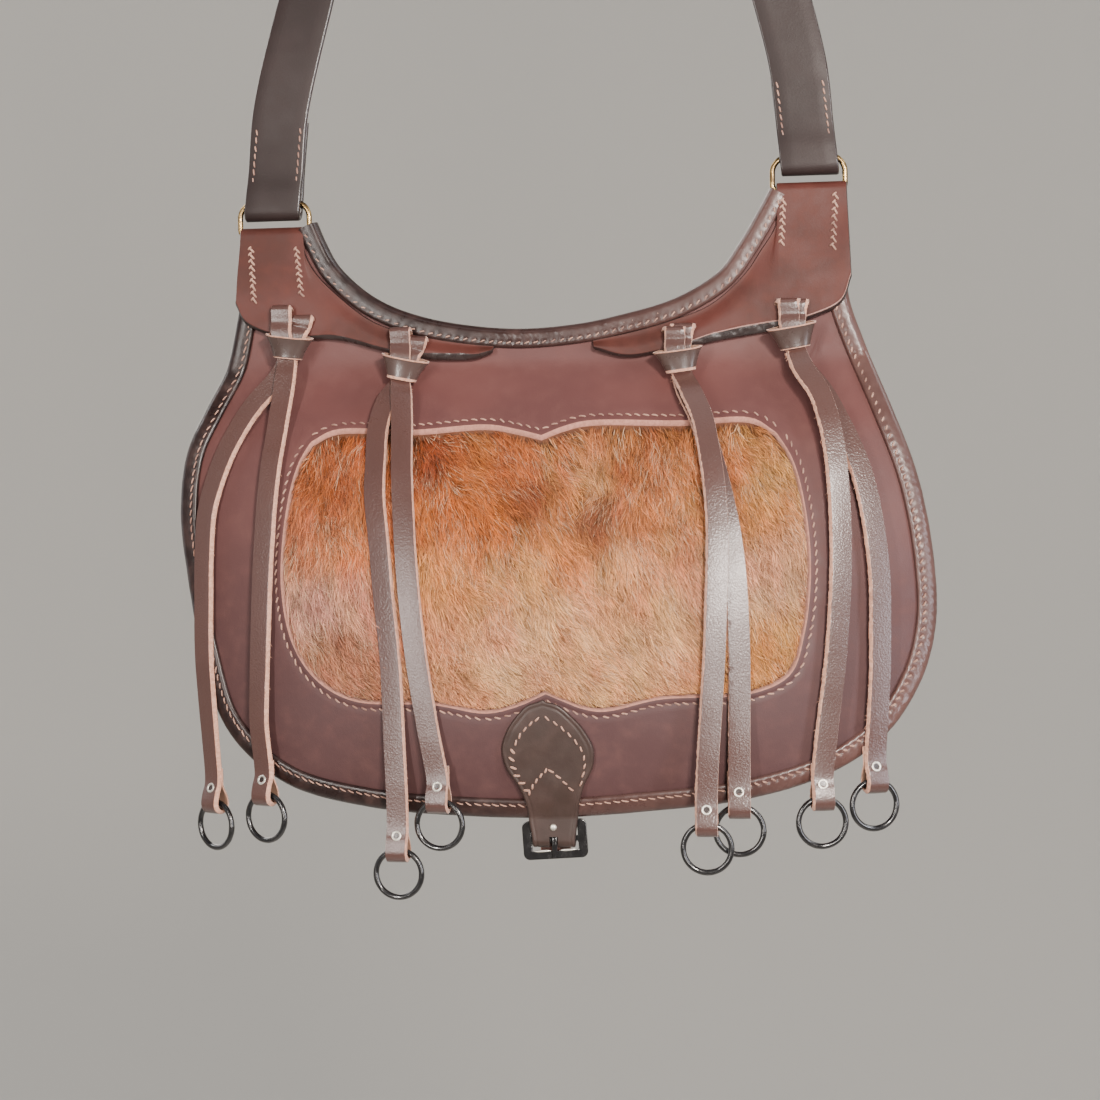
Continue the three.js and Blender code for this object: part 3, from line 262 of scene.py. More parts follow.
def shell(front, back, cells=None, walls=(), wall_material=1, closed=False):
    """Sheet with a front, a back and walls, from two grids. `cells` says which quads are kept, `closed`
    joins the last column to the first, and `walls` are (share of the thickness, push outward) that round
    the edge."""
    rows, columns = front.shape[:2]
    cells = np.ones((rows - 1, columns if closed else columns - 1), bool) if cells is None else cells
    number = rows * columns
    points = [front.reshape(-1, 3), back.reshape(-1, 3)]
    quads = grid_faces(rows, columns, closed=closed)[cells.reshape(-1)]
    faces = [quads, quads[:, ::-1] + number]
    kinds = [np.zeros(len(quads) * 2, int)]
    directed = {(quad[i], quad[(i + 1) % 4]): True for quad in quads for i in range(4)}
    border = [(a, b) for a, b in directed if (b, a) not in directed]
    flat_front, flat_back = points[0], points[1]
    if len(walls):
        outward = np.zeros((number, 3))
        normals = unit(flat_front - flat_back)
        first, second, _, fourth = quads.T
        turned = np.cross(flat_front[second] - flat_front[first], flat_front[fourth] - flat_front[first])
        if np.einsum("ij,ij->i", turned, normals[first]).sum() < 0:
            normals = -normals
        for a, b in border:
            side = np.cross(normals[a], flat_front[b] - flat_front[a])
            outward[a] -= side
            outward[b] -= side
        outward = unit(outward)
        used = sorted({a for edge in border for a in edge})
        index = {a: i for i, a in enumerate(used)}
        rings = [{a: a for a in used}]
        base = 2 * number
        for share, push in walls:
            points.append(flat_front[used] * (1 - share) + flat_back[used] * share + outward[used] * push)
            rings.append({a: base + index[a] for a in used})
            base += len(used)
        rings.append({a: a + number for a in used})
        wall = [(above[b], above[a], below[a], below[b])
                for above, below in zip(rings, rings[1:]) for a, b in border]
    else:
        wall = [(b, a, a + number, b + number) for a, b in border]
    faces.append(np.array(wall))
    kinds.append(np.full(len(wall), wall_material))
    points, faces = np.vstack(points), np.vstack(faces)
    used, renumbered = np.unique(faces, return_inverse=True)
    return points[used], renumbered.reshape(faces.shape), np.concatenate(kinds)


def sweep(rings, closed=False, caps=True, kinds=None):
    """Tube through rings of points (stations x section points x 3). `kinds` is the material of each side
    of the section."""
    rings = np.asarray(rings, float)
    count, sides = rings.shape[:2]
    along = np.vstack([rings, rings[:1]]) if closed else rings
    faces = grid_faces(len(along), sides, closed=True)
    if closed:
        faces = faces % (count * sides)
    kinds = np.zeros(sides, int) if kinds is None else np.asarray(kinds)
    material = np.tile(kinds, len(along) - 1)
    faces, material = [list(f) for f in faces], list(material)
    if caps and not closed:
        faces += [list(range(sides))[::-1], [(count - 1) * sides + k for k in range(sides)]]
        material += [1 if kinds.any() else 0] * 2
    return rings.reshape(-1, 3), faces, np.array(material)


def by_number(points):
    """Smooth function of the number of a point, counted from 0."""
    points = np.asarray(points, float)
    slopes = np.gradient(points, axis=0)

    def at(numbers):
        numbers = np.clip(np.asarray(numbers, float), 0, len(points) - 1)
        i = np.minimum(numbers.astype(int), len(points) - 2)
        t = (numbers - i)[:, None]
        rise = points[i + 1] - points[i]
        ease = t * t * (3 - 2 * t)
        return points[i] + rise * ease + t * (1 - t) ** 2 * slopes[i] - t * t * (1 - t) * slopes[i + 1]

    return at


def smooth_rows(rows, spacing, lead=3):
    """Rows made dense along a smooth way."""
    rows = np.asarray(rows, float)
    held = with_ends(rows)
    dense = [rows[:1]]
    for i in range(len(rows) - 1):
        reach = np.linalg.norm((held[i + 2] - held[i + 1])[:lead])
        dense.append(smooth_piece(*held[i:i + 4], max(int(round(reach / spacing)), 1), lead, 1e-3))
    return np.vstack(dense)


def ribbon(places, across, section, halves=None, spacing=2.0, kinds=None, shift=None):
    """Strap along `places`, its width along `across`. `section` holds (share of the half width, height above
    the middle); `halves` is the half width at each place; `shift` may move the finished rings."""
    places, across = np.asarray(places, float), np.asarray(across, float)
    halves = np.broadcast_to(np.asarray(halves, float), (len(places),))
    dense = smooth_rows(np.column_stack([places, across, halves]), spacing)
    p, w, half = dense[:, :3], dense[:, 3:6], dense[:, 6]
    along = unit(np.gradient(p, axis=0))
    w = unit(w - along * np.einsum("ij,ij->i", w, along)[:, None])
    face = np.cross(along, w)
    section = np.asarray(section, float)
    rings = (p[:, None] + w[:, None] * (section[None, :, :1] * half[:, None, None])
             + face[:, None] * section[None, :, 1:])
    if shift is not None:
        rings = shift(rings, p, w, face)
    return sweep(rings, kinds=kinds)


def join_parts(parts):
    """Several (points, faces, kinds) as one."""
    points, faces, kinds, base = [], [], [], 0
    for part_points, part_faces, part_kinds in parts:
        points.append(part_points)
        faces += [[int(v) + base for v in face] for face in part_faces]
        kinds.append(part_kinds)
        base += len(part_points)
    return np.vstack(points), faces, np.concatenate(kinds)


def make_piece(name, part, materials, body="bag", nodes=(), sharp=50):
    """A Blender mesh from a part, riding on its body and standing for its solids."""
    points, faces, kinds = part
    mesh = bpy.data.meshes.new(name)
    mesh.from_pydata(to_row(points).tolist(), [], [list(map(int, face)) for face in faces])
    for material in materials:
        mesh.materials.append(material)
    mesh.polygons.foreach_set("material_index", np.minimum(kinds, len(materials) - 1).astype(np.int32))
    mesh.polygons.foreach_set("use_smooth", np.ones(len(mesh.polygons), bool))
    mesh.validate()
    outward_faces(mesh)
    if sharp:
        mesh.set_sharp_from_angle(angle=math.radians(sharp))
    piece = bpy.data.objects.new(name, mesh)
    bpy.context.scene.collection.objects.link(piece)
    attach(piece, body)
    if nodes:
        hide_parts(*nodes)
    made.append((name, len(mesh.polygons)))
    return piece


def outward_faces(mesh):
    """Turns a closed mesh inside out where its volume comes out negative."""
    points = np.empty(len(mesh.vertices) * 3)
    mesh.vertices.foreach_get("co", points)
    points = points.reshape(-1, 3)
    mesh.calc_loop_triangles()
    corners = np.empty(len(mesh.loop_triangles) * 3, np.int32)
    mesh.loop_triangles.foreach_get("vertices", corners)
    a, b, c = (points[corners.reshape(-1, 3)[:, k]] for k in range(3))
    if np.einsum("ij,ij->i", a, np.cross(b, c)).sum() < 0:
        mesh.flip_normals()


made = []                         # (name, number of faces) of every piece
print("helpers ready")

# %% [markdown]
# ## Materials
# Each finish is named for what it really is. Colours are given as the eye sees them, in sRGB, and one
# function turns them to linear light. One more function adds a node with its settings and its links.

# %% Colour and node helpers
def colour(code):
    """sRGB hex as linear RGBA."""
    parts = [int(code.lstrip("#")[i:i + 2], 16) / 255 for i in (0, 2, 4)]
    return (*[p / 12.92 if p <= 0.04045 else ((p + 0.055) / 1.055) ** 2.4 for p in parts], 1.0)


def add_node(tree, kind, inputs=None, **settings):
    """A node of this kind; an input is a value, or a socket to link."""
    node = tree.nodes.new("ShaderNode" + kind)
    for key, value in settings.items():
        setattr(node, key, value)
    for key, value in (inputs or {}).items():
        if isinstance(value, bpy.types.NodeSocket):
            tree.links.new(value, node.inputs[key])
        else:
            node.inputs[key].default_value = value
    return node


def new_material(name, values):
    """A material with one shader, set to `values`, and the socket that gives places in the model's frame."""
    material = bpy.data.materials.new(name)
    material.use_nodes = True
    tree = material.node_tree
    tree.nodes.clear()
    shader = add_node(tree, "BsdfPrincipled", values)
    add_node(tree, "OutputMaterial", {"Surface": shader.outputs[0]})
    places = add_node(tree, "TexCoord").outputs["Object"]
    return material, tree, shader, places


def drive(tree, shader, **sockets):
    """Links sockets to the shader's inputs; an underscore stands for a space."""
    for name, socket in sockets.items():
        tree.links.new(socket, shader.inputs[name.replace("_", " ")])


def mix_colours(tree, share, a, b, way="MIX"):
    return add_node(tree, "Mix", {0: share, 6: a, 7: b}, data_type="RGBA", blend_type=way).outputs[2]


def noise(tree, places, size, detail=2.0, rough=0.5, warp=0.0):
    """Noise with features of about `size` millimetres."""
    return add_node(tree, "TexNoise", {
        "Vector": places, "Scale": 1 / (size * MILLIMETRE), "Detail": detail, "Roughness": rough,
        "Distortion": warp,
    }).outputs[0]


def between(tree, value, low, high, to_low=0.0, to_high=1.0):
    return add_node(tree, "MapRange", {
        "Value": value, "From Min": low, "From Max": high, "To Min": to_low, "To Max": to_high,
    }, interpolation_type="SMOOTHSTEP").outputs[0]


def bumped(tree, height, strength, distance, under=None):
    inputs = {"Height": height, "Strength": strength, "Distance": distance * MILLIMETRE}
    if under is not None:
        inputs["Normal"] = under
    return add_node(tree, "Bump", inputs).outputs[0]


# %% [markdown]
# ### Vegetable-tanned cowhide
# The flap, the yokes and the pouch are cut from bag hide: tanned with bark, dyed reddish brown through the
# grain and dressed with wax. The eye sees slow clouds of lighter and darker dye, a faint grain of pores
# about half a millimetre apart, creases, and a waxy gloss that changes from place to place. Leather
# reflects like most organic coatings, with an IOR of about 1.48.

# %% Leather
def leather(name, base, dark, light, gloss, grain=0.55, grain_depth=0.05, crease=0.10, coat=0.0, cloud=48,
            painted_shade=None, patchy=0.5, worn=1.0, shine=0.5):
    """`painted_shade` is (axis, from, to, share, colour) of painted shade: the share of that dark colour
    falls to none between the two places, which are in metres in the model's frame. `worn` is how much the
    gloss changes."""
    material, tree, shader, places = new_material(name, {
        "IOR": 1.48, "Specular IOR Level": shine, "Coat Weight": coat, "Coat Roughness": 0.32,
    })
    clouds = noise(tree, places, cloud, 3.0, 0.55, 0.4)
    mottle = noise(tree, places, 9.0, 4.0, 0.6)
    tone = mix_colours(tree, between(tree, clouds, 0.34, 0.66), colour(dark), colour(base))
    # painted shade: a darker colour laid over one end of the piece
    if painted_shade:
        axis, start, end, share, code = painted_shade
        at = add_node(tree, "SeparateXYZ", {"Vector": places}).outputs[axis]
        tone = mix_colours(tree, between(tree, at, start, end, share, 0.0), tone, colour(code))
    tone = mix_colours(tree, between(tree, mottle, 0.4, 0.9, 0.0, patchy), tone, colour(light))
    pores = add_node(tree, "TexVoronoi", {"Vector": places, "Scale": 1 / (grain * MILLIMETRE)}).outputs[0]
    fine = noise(tree, places, 1.3, 3.0, 0.6)
    folds = noise(tree, places, 5.5, 3.0, 0.5, 1.6)
    wear = add_node(tree, "Math", {
        0: between(tree, mottle, 0.3, 0.7, -0.06 * worn, 0.06 * worn),
        1: between(tree, clouds, 0.3, 0.7, gloss + 0.05 * worn, gloss - 0.05 * worn),
    }).outputs[0]
    shaped = bumped(tree, folds, 0.5, crease)
    shaped = bumped(tree, fine, 0.35, grain_depth * 1.4, shaped)
    shaped = bumped(tree, pores, 0.45, grain_depth, shaped)
    drive(tree, shader, Base_Color=tone, Roughness=wear, Normal=shaped)
    return material


# The flap's colour darkens towards the bottom: painted shade.
flap_hide = leather("bark_tanned_cowhide_waxed", "#633e3b", "#5a3836", "#6f4a45", 0.52, cloud=60, patchy=0.3,
                    painted_shade=(2, -0.76, -0.56, 1.0, "#4b3333"), shine=0.3)
pouch_hide = leather("bark_tanned_cowhide_matt", "#68443c", "#603e37", "#6e4a42", 0.56, cloud=70, patchy=0.25,
                     shine=0.4)
# The binding's colour goes almost black towards the left side: painted shade.
bound_edge = leather("calf_binding_burnished", "#5c413c", "#4e3632", "#664943", 0.33, 0.5, 0.03, 0.06, 0.2,
                     patchy=0.3, painted_shade=(0, -0.10, 0.17, 0.97, "#1c100f"), shine=0.4)
bridle = leather("bridle_butt_waxed", "#4f3530", "#4b322d", "#53382f", 0.29, 1.1, 0.26, 0.0, 0.7, patchy=0.0,
                 worn=0.2)
yoke_hide = leather("bark_tanned_cowhide_oiled", "#522a24", "#44231d", "#61352b", 0.52, cloud=34, shine=0.28)
tab_hide = leather("bark_tanned_cowhide_dark", "#3c2c27", "#352722", "#4b3833", 0.46, cloud=22, coat=0.08,
                   shine=0.4)

# %% [markdown]
# ### Raw cut edge
# Where a knife goes through, the undyed middle of the hide shows: pale, pinkish tan, matt and fibrous.
# The fibres are drawn as a fine noise, coarser than real ones so that they show.

# %% Raw edge
def raw_edge(name, base, deep):
    material, tree, shader, places = new_material(name, {
        "Roughness": 0.86, "IOR": 1.45, "Sheen Weight": 0.25, "Sheen Roughness": 0.5,
    })
    fibre = noise(tree, places, 1.6, 5.0, 0.7)
    patches = noise(tree, places, 14, 2.0, 0.5)
    tone = mix_colours(tree, between(tree, fibre, 0.3, 0.7), colour(deep), colour(base))
    tone = mix_colours(tree, between(tree, patches, 0.5, 0.75, 0, 0.35), tone, colour(deep))
    drive(tree, shader, Base_Color=tone, Normal=bumped(tree, fibre, 0.7, 0.25))
    return material


cut_edge = raw_edge("raw_cut_hide", "#d3a48e", "#ad7c67")
window_edge = raw_edge("raw_cut_hide_window", "#bb8576", "#a07060")
shoulder_hide = leather("bridle_butt_worn", "#2c2120", "#251b1a", "#332625", 0.5, 1.1, 0.06, 0.03, 0.0,
                        patchy=0.3, worn=0.5, shine=0.32)
# dark burnished edge leather; in the eyelets' holes it is a disc of painted shade
dark_edge_and_shade = leather("burnished_edge_and_shade", "#2c201f", "#221a19", "#382927", 0.28, 0.5, 0.03, 0.05, 0.6)
# pale edge colour for a painted highlight along the right yoke's bevel
painted_highlight_edge = raw_edge("edge_painted_highlight", "#b08a80", "#8d675d")
lining = leather("flesh_side_of_hide", "#8a6a58", "#785a49", "#9b7b68", 0.75, 1.1, 0.10, 0.06)

# %% [markdown]
# ### Waxed linen thread
# Saddle stitches are made with thick linen thread drawn through beeswax: light tan, with a soft shine and
# a twist that shows as fine slanting ribs, about half a millimetre apart.

# %% Thread
def linen_thread():
    material, tree, shader, places = new_material("waxed_linen_thread", {"Roughness": 0.55, "IOR": 1.5})
    twist = add_node(tree, "TexWave", {
        "Vector": places, "Scale": 0.16 / (0.5 * MILLIMETRE), "Distortion": 1.0, "Detail": 1.0,
    }, wave_type="BANDS", bands_direction="DIAGONAL").outputs[1]
    dirt = noise(tree, places, 22, 3.0, 0.6)
    tone = mix_colours(tree, between(tree, dirt, 0.4, 0.72), colour("#b58e7c"), colour("#836156"))
    # painted shade: the twist's grooves are darkened
    tone = mix_colours(tree, between(tree, twist, 0.0, 0.4, 0.35, 0.0), tone, colour("#7d5a4c"))
    drive(tree, shader, Base_Color=tone, Normal=bumped(tree, twist, 0.6, 0.12))
    return material


thread = linen_thread()

# %% [markdown]
# ### Metals
# The game rings and the buckle are steel with a black japanned finish: hard baked varnish over the metal,
# almost black, with sharp lamps in it and small rubs. The strap rings are brass gone brown, and the
# eyelets are nickel plated. Bare metals keep the default IOR, and their colour is that of the metal.

# %% Metals
def japanned_steel():
    material, tree, shader, places = new_material("japanned_steel", {
        "Metallic": 0.0, "IOR": 1.55, "Coat Weight": 0.7, "Coat Roughness": 0.08,
    })
    rubs_and_glints = noise(tree, places, 6, 5.0, 0.65)
    tone = mix_colours(tree, between(tree, rubs_and_glints, 0.62, 0.8, 0.0, 0.6), colour("#151416"), colour("#4b4644"))
    pits = bumped(tree, noise(tree, places, 2.5, 3.0, 0.5), 0.25, 0.05)
    drive(tree, shader, Base_Color=tone, Roughness=between(tree, rubs_and_glints, 0.3, 0.8, 0.16, 0.34), Normal=pits)
    return material


def bare_metal(name, bright, dull, rough_low, rough_high, patch):
    material, tree, shader, places = new_material(name, {"Metallic": 1.0})
    age = noise(tree, places, patch, 5.0, 0.65)
    tone = mix_colours(tree, between(tree, age, 0.38, 0.68), colour(bright), colour(dull))
    pits = bumped(tree, noise(tree, places, 1.2, 4.0, 0.6), 0.2, 0.03)
    drive(tree, shader, Base_Color=tone, Roughness=between(tree, age, 0.35, 0.7, rough_low, rough_high),
          Normal=pits)
    return material


black_steel = japanned_steel()
old_brass = bare_metal("brass_aged", "#a58a5c", "#5d4a33", 0.22, 0.42, 5)
nickel_plate = bare_metal("nickel_plate", "#e8e3d8", "#c9c3b8", 0.40, 0.55, 2.5)
print("materials:", len(bpy.data.materials))

# %% [markdown]
# ## Outlines of the flap and its window
# The flap's outer edge runs from the left ear down, along the bottom and up to the right ear; the
# neckline runs between the ears; and the window has two points like a bracket, one above and one below.

# %% Tables of the outlines
FLAP_EDGE = [
    (-175, 12), (-181, -14), (-192, -39), (-201, -62), (-203.5, -95), (-198, -133), (-189, -175),
    (-179, -206), (-163, -226), (-137, -243), (-95, -253), (-43, -257.5), (3, -258.5), (50, -255.5),
    (107, -249), (150, -236), (178, -217), (197, -189), (205, -160), (204.5, -125), (197, -82), (184, -44),
    (171, -10), (163.5, 12),
]
NECK_EDGE = [
    (-124, 53.4), (-116.5, 40), (-97, 22.5), (-70, 11), (-24, 3.5), (12, 4.7), (40, 9.6), (68, 17.3),
    (92, 31), (104, 46.5), (113.5, 62),
]
WINDOW_RUNS = [
    [(-128, -59), (-116, -53), (-72, -54), (-31, -52), (-15, -55), (-2, -58.5)],
    [(-2, -58.5), (9, -54), (22, -51), (72, -52), (110, -51.5), (122, -59)],
    [(122, -59), (130, -73), (136, -100), (138, -131), (134.5, -162), (127, -183), (108, -192), (61, -194),
     (30, -200), (14, -196), (2, -190.5)],
    [(2, -190.5), (-13, -197), (-29, -200.5), (-57, -196), (-101, -194), (-121, -183), (-134, -164),
     (-140, -136), (-139, -100), (-134, -71), (-128, -59)],
]
edge_line, neck_line = Line(FLAP_EDGE), Line(NECK_EDGE)
window_lines = [Line(run) for run in WINDOW_RUNS]
BINDING_FRONT, BINDING_BACK, BINDING_LEATHER, BINDING_COVER = 11.0, 6.5, 1.7, 2.3
EDGE_STEPS, NECK_STEPS = 44, 20


def inward(line, shares, side):
    """Directions into the bag, at right angles to a line in the (x, z) plane."""
    t = line.along(shares)
    return np.stack([-t[:, 1] * side, t[:, 0] * side], -1)


def inset(line, shares, distance, side):
    return line.at(shares) + inward(line, shares, side) * np.asarray(distance, float).reshape(-1, 1)


print("edge", round(edge_line.length), "mm, neckline", round(neck_line.length), "mm")

# %% [markdown]
# ## The flap
# The flap is one sheet with a hole. Its mesh is ruled between the window and the rim, so that its rows can
# follow the window: first the skived slope of the cut edge, then the shallow groove where the stitches
# lie, then the plain leather. The cut edge is bevelled, which is why its pale middle shows from in front.

# %% Flap
FINE = 4                          # finer stations between the solid's own
# `ribs` are (top x, top z, low x, low z) of the lines that a yoke is a fan of, from outside to inside.
EARS = {
    "left": dict(
        link=-153, top=62.8, layers=53.4, outer=-171.5,
        ribs=[(-171.5, 57.8, -174.2, 20), (-160, 57.8, -168, 9), (-147, 57.8, -150, 1.5),
              (-136, 57.8, -135, 0.5), (-135.5, 47, -122, 0), (-126.5, 32, -110, -2),
              (-105, 12.5, -95, -6.5), (-88, 3.6, -78, -10.5),
              (-66, -2.2, -60, -13.2), (-47, -5.6, -43, -13.5), (-31, -7.6, -31.5, -10)],
    ),
    "right": dict(
        link=142, top=78, layers=62, outer=161.5,
        ribs=[(162, 73, 163.8, 26), (150, 73, 157.5, 11.5), (136, 73, 138, 3), (125, 73, 125, -1),
              (124.5, 55, 113, -3), (115.5, 40, 103, -4.5), (105, 26, 91, -6.5), (87, 11.5, 75, -9.5),
              (64, 3, 57, -12.5), (45, -2, 42, -14.5), (24, -6, 25, -9.5)],
    ),
}


def finer(a, b):
    """The points after a up to b, at the finer stations."""
    return [a + (b - a) * k / FINE for k in range(1, FINE + 1)]


def flap_rims():
    """Hem under the binding, a line just inside the binding, and the window's edge, paired point by point."""
    half, fan = EDGE_STEPS // 2, 1.6
    neck_shares = np.linspace(0, 1, NECK_STEPS * FINE + 1)
    right_shares = np.linspace(1, (half + 1) / EDGE_STEPS, (half - 1) * FINE + 1)
    left_shares = np.linspace(half / EDGE_STEPS, 0, half * FINE + 1)

    def bound(line, shares, side):
        return np.hstack([inset(line, shares, d, side) for d in (BINDING_COVER, BINDING_FRONT + 0.6)])

    def plain(point, corner):
        point = np.array(point, float)
        return np.concatenate([point, point * 0.9 + np.array(corner) * 0.1])

    neck, right = bound(neck_line, neck_shares, -1), bound(edge_line, right_shares, 1)
    left = bound(edge_line, left_shares, 1)
    right_ear = [plain(place, (122, -59)) for place in ((161.5, 62), (161.5, 38))]
    left_ear = [plain(place, (-128, -59)) for place in ((-171.5, 32), (-171.5, 53.4))]
    plain_right = [right_ear[0], *finer(*right_ear), *finer(right_ear[1], right[0])[:-1]]
    plain_left = [*finer(left[-1], left_ear[0]), *finer(*left_ear)]
    rows = np.vstack([neck, plain_right, right, left, plain_left])
    right_number = np.arange(len(plain_right) + len(right)) / FINE
    left_number = np.arange(len(left) + len(plain_left)) / FINE
    upper = neck_shares[:-1] * 2
    top_left, top_right, down, back_up = window_lines
    window = np.vstack([
        top_left.at(upper[upper < 1]), top_right.at(upper[upper >= 1] - 1), down.at([0]),
        down.at(((right_number + 1) / (half + 3)) ** fan),
        back_up.at(1 - np.maximum(1 - left_number / (half + 3), 0) ** fan),
    ])
    return rows[:, :2], rows[:, 2:], window


hem, fold_row, window_rim = flap_rims()
towards_rim = fold_row - window_rim
reach = np.linalg.norm(towards_rim, axis=1, keepdims=True)
window_out = towards_rim / reach

WINDOW_BEVEL, STITCH_FROM_WINDOW = 1.8, 4.7
# (distance from the window's edge, depth below the flap's face)
near_rows = [(0.0, 1.9), (0.5, 1.1), (1.05, 0.42), (1.5, 0.08), (WINDOW_BEVEL, 0.0), (3.5, 0.0), (4.2, 0.22),
             (STITCH_FROM_WINDOW, 0.3), (5.2, 0.22), (6.0, 0.0)]
flap_rows = [window_rim + window_out * np.minimum(d, reach * 0.5) for d, _ in near_rows]
flap_depths = [depth for _, depth in near_rows]
start = flap_rows[-1]
for share in (0.06, 0.14, 0.24, 0.36, 0.48, 0.6, 0.71, 0.81, 0.9, 0.96):
    flap_rows.append(start * (1 - share) + fold_row * share)
    flap_depths.append(0.0)
flap_rows += [fold_row, (fold_row + hem) / 2, hem]
flap_depths += [0.0, 0.0, 0.0]


def lay_rows(rows, depths):
    return np.stack([layer(row[:, 0], row[:, 1], depth) for row, depth in zip(rows, depths)])


flap_front = lay_rows(flap_rows, flap_depths)
flap_back = lay_rows(flap_rows, [max(LEATHER, depth + 0.25) for depth in flap_depths])
points, faces, kinds = shell(flap_front, flap_back, closed=True)
columns = flap_front.shape[1]
kinds[:columns * 4] = 1                            # the skived slope of the window's edge
side_faces = (flap_front.shape[0] - 1) * columns
kinds[side_faces:2 * side_faces] = 2
make_piece("flap", (points, faces, kinds), [flap_hide, window_edge, lining], nodes=["flap"])
print("flap:", len(faces), "faces")

# %% [markdown]
# ## Saddle stitches
# A saddle stitch is one slanting bead of thread that dives into the leather at both ends. Each bead is a
# short bent capsule. A row is made from points along a line, the way of the row, and the leather's normal.

# %% Stitch helper
THREAD_RADIUS = 0.46
STITCH_PITCH = 4.7
BEAD_SIDES = 6
BEAD_STEPS = np.array([-1.0, -0.86, -0.55, 0.0, 0.55, 0.86, 1.0])       # along half of a bead
BEAD_WIDTHS = np.array([0.25, 0.75, 1.0, 1.06, 1.0, 0.75, 0.25])        # share of the radius there


def stitches(centres, ways, normals, length=3.7, slant=18.0, radius=THREAD_RADIUS, rise=0.42, seed=1):
    """Beads of thread; `slant` is their angle to the row in degrees, `rise` how far they stand out."""
    random = np.random.RandomState(seed)
    centres, ways, normals = (np.asarray(v, float) for v in (centres, ways, normals))
    count = len(centres)
    turn = np.radians(slant + random.normal(0, 4, count))[:, None]
    across = unit(np.cross(normals, ways))
    heading = unit(ways * np.cos(turn) + across * np.sin(turn))
    side = unit(np.cross(normals, heading))
    long = (length * (1 + random.normal(0, 0.05, count)))[:, None]
    centres = centres + ways * random.normal(0, 0.12, count)[:, None]
    turns = np.linspace(0, 2 * np.pi, BEAD_SIDES, endpoint=False)
    rings = []
    for step, width in zip(BEAD_STEPS, BEAD_WIDTHS):
        middle = centres + heading * long * step / 2 + normals * (rise * (1 - abs(step) ** 2.6) - 0.12)
        rings.append(np.stack([
            middle + (side * math.cos(t) * 1.05 + normals * math.sin(t)) * radius * width for t in turns
        ], 1))
    beads = np.stack(rings, 1)                    # beads x rings x sides x 3
    faces = []
    pattern = grid_faces(len(BEAD_STEPS), BEAD_SIDES, closed=True)
    last = len(BEAD_STEPS) * BEAD_SIDES
    caps = [list(range(BEAD_SIDES))[::-1], list(range(last - BEAD_SIDES, last))]
    for base in range(0, count * last, last):
        faces += (pattern + base).tolist() + [[v + base for v in cap] for cap in caps]
    return beads.reshape(-1, 3), faces, np.zeros(len(faces), int)


def spread(line, shares, pitch):
    """Shares of the line's length for a row of stitches between two shares."""
    low, high = shares
    count = max(int(line.length * (high - low) / pitch), 1)
    return low + (np.arange(count) + 0.5) / count * (high - low)


def row_on_flap(line, distance, side, depth, shares=(0, 1), pitch=STITCH_PITCH):
    """Places, ways and normals for a row of stitches at a distance from a line on the flap."""
    at, near = spread(line, shares, pitch), 0.002
    flat = inset(line, at, distance, side)
    ahead = inset(line, np.minimum(at + near, 1), distance, side)
    ahead = ahead - inset(line, np.maximum(at - near, 0), distance, side)
    x, z = flat[:, 0], flat[:, 1]
    step = unit(ahead) * 0.5
    centres = layer(x, z, depth)
    ways = unit(layer(x + step[:, 0], z + step[:, 1], depth) - centres)
    normals = unit(layer(x, z, depth - 1) - centres)
    return centres, ways, normals


# %% Stitches round the window
window_rows = []
for number, line in enumerate(window_lines):
    trim = 1.8 / line.length
    window_rows.append(stitches(
        *row_on_flap(line, STITCH_FROM_WINDOW, 1, 0.3, (trim, 1 - trim)), slant=-20, seed=20 + number,
    ))
make_piece("stitches_window", join_parts(window_rows), [thread])
bead_points = len(BEAD_STEPS) * BEAD_SIDES
print("stitches round the window:", sum(len(part[0]) for part in window_rows) // bead_points)

# %% [markdown]
# ## Fur in the window
# The window shows the short summer coat of a deer. Each hair is a flat tapered strip, rooted in the hide
# and lying almost along it. Hair is never combed one way: it follows a flow that turns from place to
# place, with a crown where it parts. A short table gives the flow's heading and the colour at some
# places, and every hair takes a weighted mean of the nearest ones. Tufts are made by letting neighbours
# lean towards shared tips. The strips are about twice as thick as real hair, so that they show.

# %% The hide under the fur
def window_loop(spread, per=60):
    """Closed outline of the window, moved outward by `spread`."""
    rows = []
    for line in window_lines:
        shares = np.arange(per) / per
        rows.append(line.at(shares) + inward(line, shares, 1) * spread)
    return np.vstack(rows)


FUR_CENTRE = np.array([0.0, -126.0])
hide_rim = window_loop(5.0)
hide_rows = [FUR_CENTRE + (hide_rim - FUR_CENTRE) * share
             for share in (1.0, 0.975, 0.9, 0.75, 0.55, 0.35, 0.15, 0.02)]
HIDE_FACE = [2.9, 2.9] + [1.6] * 6          # depth of each row: the border lies lower, behind the flap
hide_grid = lay_rows(hide_rows, HIDE_FACE)
hide_back = lay_rows(hide_rows, [4.5] * len(hide_rows))

# %% Flow and colours of the coat
# x, z, heading in degrees from straight down towards +X
FLOW = [
    (-128, -75, -8), (-110, -70, 2), (-92, -66, 4), (-130, -110, 4), (-105, -110, 6), (-85, -105, 6),
    (-133, -145, 14), (-108, -145, 16), (-85, -140, 12), (-118, -175, 42), (-95, -180, 45), (-80, -165, 30),
    (-68, -64, 12), (-62, -85, 10), (-45, -64, 48), (-35, -78, 55), (-20, -88, 52), (-8, -98, 40),
    (-55, -110, 10), (-30, -110, 20), (-50, -140, 16), (-25, -140, 28), (-60, -175, 38), (-30, -180, 46),
    (0, -70, 30), (15, -62, 24), (5, -118, 24), (0, -145, 36), (0, -178, 48), (28, -70, 20), (45, -66, 12),
    (18, -84, 62), (34, -86, 8), (26, -96, -14), (14, -96, 30), (40, -98, -4), (30, -118, 20), (25, -145, 38),
    (30, -180, 50), (60, -75, 12), (68, -100, 16), (60, -125, 24), (62, -155, 36), (60, -182, 46),
    (90, -70, 22), (85, -110, 24), (90, -150, 34), (112, -72, 34), (118, -105, 30), (122, -135, 22),
    (120, -160, 18), (108, -180, 28),
]
